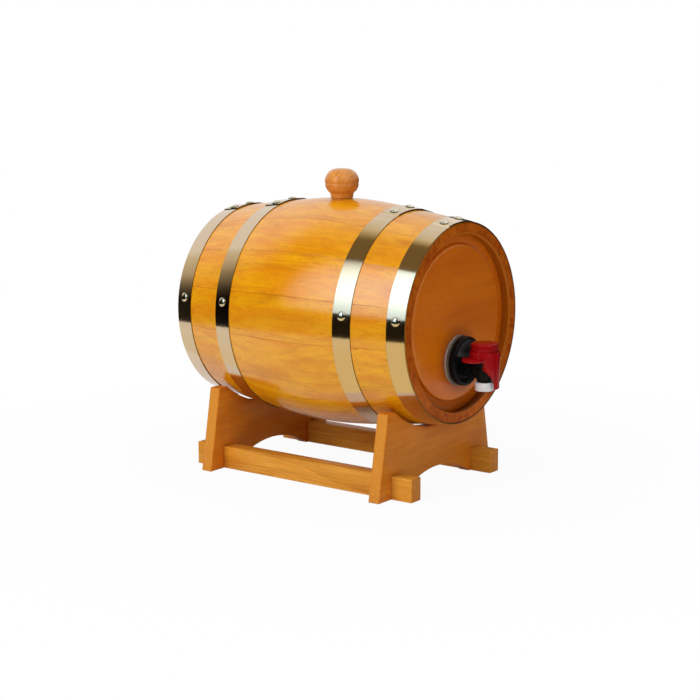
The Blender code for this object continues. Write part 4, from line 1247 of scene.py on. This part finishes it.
chamber_profile = [
    (0, BONNET_TOP + 0.0028),
    (0.0030, BONNET_TOP + 0.0028),
    (0.0030, BONNET_TOP),
    (0.0083, BONNET_TOP),
    (0.0083, BONNET_TOP - 0.0022),
    (0.0071, BONNET_TOP - 0.0034),
    (CHAMBER_RADIUS, BONNET_TOP - 0.0044),
    (CHAMBER_RADIUS, SEAT_BOTTOM),
    (NOZZLE_RADIUS, TAP_HEIGHT - 0.0120),
    (NOZZLE_RADIUS, NOZZLE_LOW),
    (0, NOZZLE_LOW),
]
chamber = turned_mesh("chamber", chamber_profile, SPOUT)
joined = cut(flange, barrel, chamber, operation="UNION")
seat_top = SEAT_BOTTOM + 0.0015
waterway_profile = [
    (0, BONNET_TOP + 0.004),
    (0.0014, BONNET_TOP + 0.004),
    (0.0014, BONNET_TOP - 0.0011),
    (0.0043, BONNET_TOP - 0.0011),
    (0.0043, seat_top),
    (0.0024, seat_top),
    (0.0024, SEAT_BOTTOM),
    (0.0038, SEAT_BOTTOM),
    (0.0038, NOZZLE_LOW - 0.002),
    (0, NOZZLE_LOW - 0.002),
]
waterway = turned_mesh("waterway", waterway_profile, SPOUT, 64)
spigot_bore = rod(SPIGOT_BORE, flange_back - 0.014, flange_front - 0.0024, TAP_SPOT, axis="-Y")
barrel_bore = rod(BARREL_BORE, flange_back, barrel_end, barrel_spot, 48, "-Y")
body = smoothed(rounded(cut(joined, waterway, spigot_bore, barrel_bore), BODY_EDGE, 3, 40), 45)
show("tap_body_moulding", body, black_moulding, "cask", "black_plastic", "tap_body")


# The wing collar is a red moulding that clips over the bonnet: a shallow cup with two finger
# wings, a shield-shaped flap down the front and a rib along its middle.

COLLAR_RADIUS = 0.0100
COLLAR_WELL = 0.0094
COLLAR_BOTTOM = BONNET_TOP + 0.0003
COLLAR_TOP = COLLAR_BOTTOM + 0.0063
COLLAR_FLOOR = 0.0010
FLAP_LOW = TAP_HEIGHT - 0.0163
FLAP_THICKNESS = 0.0014
CUTTER_REACH = 0.013
WING_RADIUS = 0.00786
WING_PLACE = 0.00935
WING_SETBACK = 0.0026
WING_LOW = COLLAR_BOTTOM + 0.0002
WING_TOP = COLLAR_BOTTOM + 0.0020
OPEN_BACK_HALF_WIDTH = 0.0085
RIB_HALF_WIDTH = 0.0012
RIB_INSET = 0.0009
RIB_SPAN = (-0.0093, -0.0109)
COLLAR_EDGE = 0.00022
RED_TONES = (0.36, 0.003, 0.006, 1), (0.30, 0.002, 0.005, 1)

red_moulding = moulded_look("red_moulding", RED_TONES, 0.24, Specular_IOR_Level=0.25)
cup_profile = [
    (0, COLLAR_TOP),
    (COLLAR_RADIUS, COLLAR_TOP),
    (COLLAR_RADIUS, FLAP_LOW),
    (COLLAR_RADIUS - FLAP_THICKNESS, FLAP_LOW),
    (COLLAR_RADIUS - FLAP_THICKNESS, COLLAR_BOTTOM),
    (0, COLLAR_BOTTOM),
]
cup = turned_mesh("cup", cup_profile, SPOUT, 128)
shield_side = [
    (0.0079, COLLAR_BOTTOM),
    (0.0079, TAP_HEIGHT - 0.0028),
    (0.0074, TAP_HEIGHT - 0.0038),
    (0.0030, TAP_HEIGHT - 0.0100),
    (0.0022, TAP_HEIGHT - 0.0116),
    (0.0019, TAP_HEIGHT - 0.0130),
    (0.0019, FLAP_LOW - 0.002),
    (0.0130, FLAP_LOW - 0.002),
    (0.0130, COLLAR_BOTTOM),
]


def oblong(half_width, low, high):
    return [(-half_width, low), (half_width, low), (half_width, high), (-half_width, high)]


wastes = []
for side in (1, -1):
    outline = [(side * across, height) for across, height in shield_side]
    wastes.append(prism("waste", outline, SPOUT.y + CUTTER_REACH, SPOUT.y - CUTTER_REACH))
behind = oblong(OPEN_BACK_HALF_WIDTH, FLAP_LOW - 0.002, COLLAR_BOTTOM)
wastes.append(prism("waste", behind, SPOUT.y + CUTTER_REACH, SPOUT.y))
trimmed = cut(cup, *wastes)
wings = []
for side in (-1, 1):
    wing_spot = SPOUT + Vector((side * WING_PLACE, WING_SETBACK, 0))
    wings.append(rod(WING_RADIUS, WING_LOW, WING_TOP, wing_spot, 96))
rib_face = oblong(RIB_HALF_WIDTH, FLAP_LOW + RIB_INSET, COLLAR_TOP - RIB_INSET)
rib = prism("rib", rib_face, SPOUT.y + RIB_SPAN[0], SPOUT.y + RIB_SPAN[1])
winged = cut(trimmed, *wings, rib, operation="UNION")
well_profile = [
    (0, COLLAR_TOP + 0.002),
    (COLLAR_WELL, COLLAR_TOP + 0.002),
    (COLLAR_WELL, COLLAR_BOTTOM + COLLAR_FLOOR),
    (0.0033, COLLAR_BOTTOM + COLLAR_FLOOR),
    (0.0033, COLLAR_BOTTOM - 0.002),
    (0, COLLAR_BOTTOM - 0.002),
]
well = turned_mesh("well", well_profile, SPOUT, 128)
collar = smoothed(rounded(cut(winged, well), COLLAR_EDGE, 2, 40), 45)
show("wing_collar_moulding", collar, red_moulding, "cask", "red_plastic", "wing_collar")


# The push button is a red cap that slides in the collar, with the white valve stem pressed in
# its boss. The stem's disc closes the seat from below.

BUTTON_RADIUS = 0.0091
BUTTON_LOW = COLLAR_TOP - 0.0006
BUTTON_TOP = BUTTON_LOW + 0.0059
BUTTON_CEILING = BUTTON_TOP - 0.0022
GROOVE = (BUTTON_TOP + COLLAR_TOP) / 2
WHITE_TONES = (0.78, 0.79, 0.82, 1), (0.72, 0.73, 0.76, 1)

button_profile = [
    (0, BUTTON_TOP),
    (BUTTON_RADIUS - 0.0010, BUTTON_TOP),
    (BUTTON_RADIUS - 0.0003, BUTTON_TOP - 0.0003),
    (BUTTON_RADIUS, BUTTON_TOP - 0.0010),
    (BUTTON_RADIUS, GROOVE + 0.0005),
    (BUTTON_RADIUS - 0.0004, GROOVE + 0.0002),
    (BUTTON_RADIUS - 0.0004, GROOVE - 0.0002),
    (BUTTON_RADIUS, GROOVE - 0.0005),
    (BUTTON_RADIUS, BUTTON_LOW),
    (BUTTON_RADIUS - 0.0012, BUTTON_LOW),
    (BUTTON_RADIUS - 0.0012, BUTTON_CEILING),
    (0.0028, BUTTON_CEILING),
    (0.0028, BUTTON_CEILING - 0.0022),
    (0.0014, BUTTON_CEILING - 0.0022),
    (0.0014, BUTTON_CEILING + 0.0003),
    (0, BUTTON_CEILING + 0.0003),
]
button = smoothed(turned_mesh("push_button", button_profile, SPOUT, 128))
show("push_button", button, red_moulding, "button", "red_plastic", "tap_button")
white_moulding = moulded_look("white_moulding", WHITE_TONES, 0.30)
stem_profile = [
    (0, BUTTON_CEILING),
    (0.0011, BUTTON_CEILING),
    (0.0011, SEAT_BOTTOM - 0.0003),
    (0.0031, SEAT_BOTTOM - 0.0003),
    (0.0033, SEAT_BOTTOM - 0.0005),
    (0.0033, SEAT_BOTTOM - 0.0015),
    (0, SEAT_BOTTOM - 0.0015),
]
stem = smoothed(turned_mesh("valve_stem", stem_profile, SPOUT, 48))
show("valve_stem_pin", stem, white_moulding, "button", "white_plastic", "valve_stem")


# The spout ring is a short tube of white plastic with a rounded rim, pushed up over the nozzle's
# end. The collar's flap hangs in front of it.

RING_TOP = TAP_HEIGHT - 0.0123
RING_LOW = TAP_HEIGHT - 0.0180

ring_profile = [
    (0.0049, RING_TOP),
    (0.0060, RING_TOP),
    (0.0063, RING_TOP - 0.0003),
    (0.0063, RING_LOW + 0.0008),
    (0.0061, RING_LOW + 0.0002),
    (0.0057, RING_LOW),
    (0.0052, RING_LOW),
    (0.0049, RING_LOW + 0.0003),
]
ring = smoothed(turned_mesh("spout_ring", ring_profile, SPOUT))
show("spout_ring_moulding", ring, white_moulding, "cask", "white_plastic", "spout_ring")
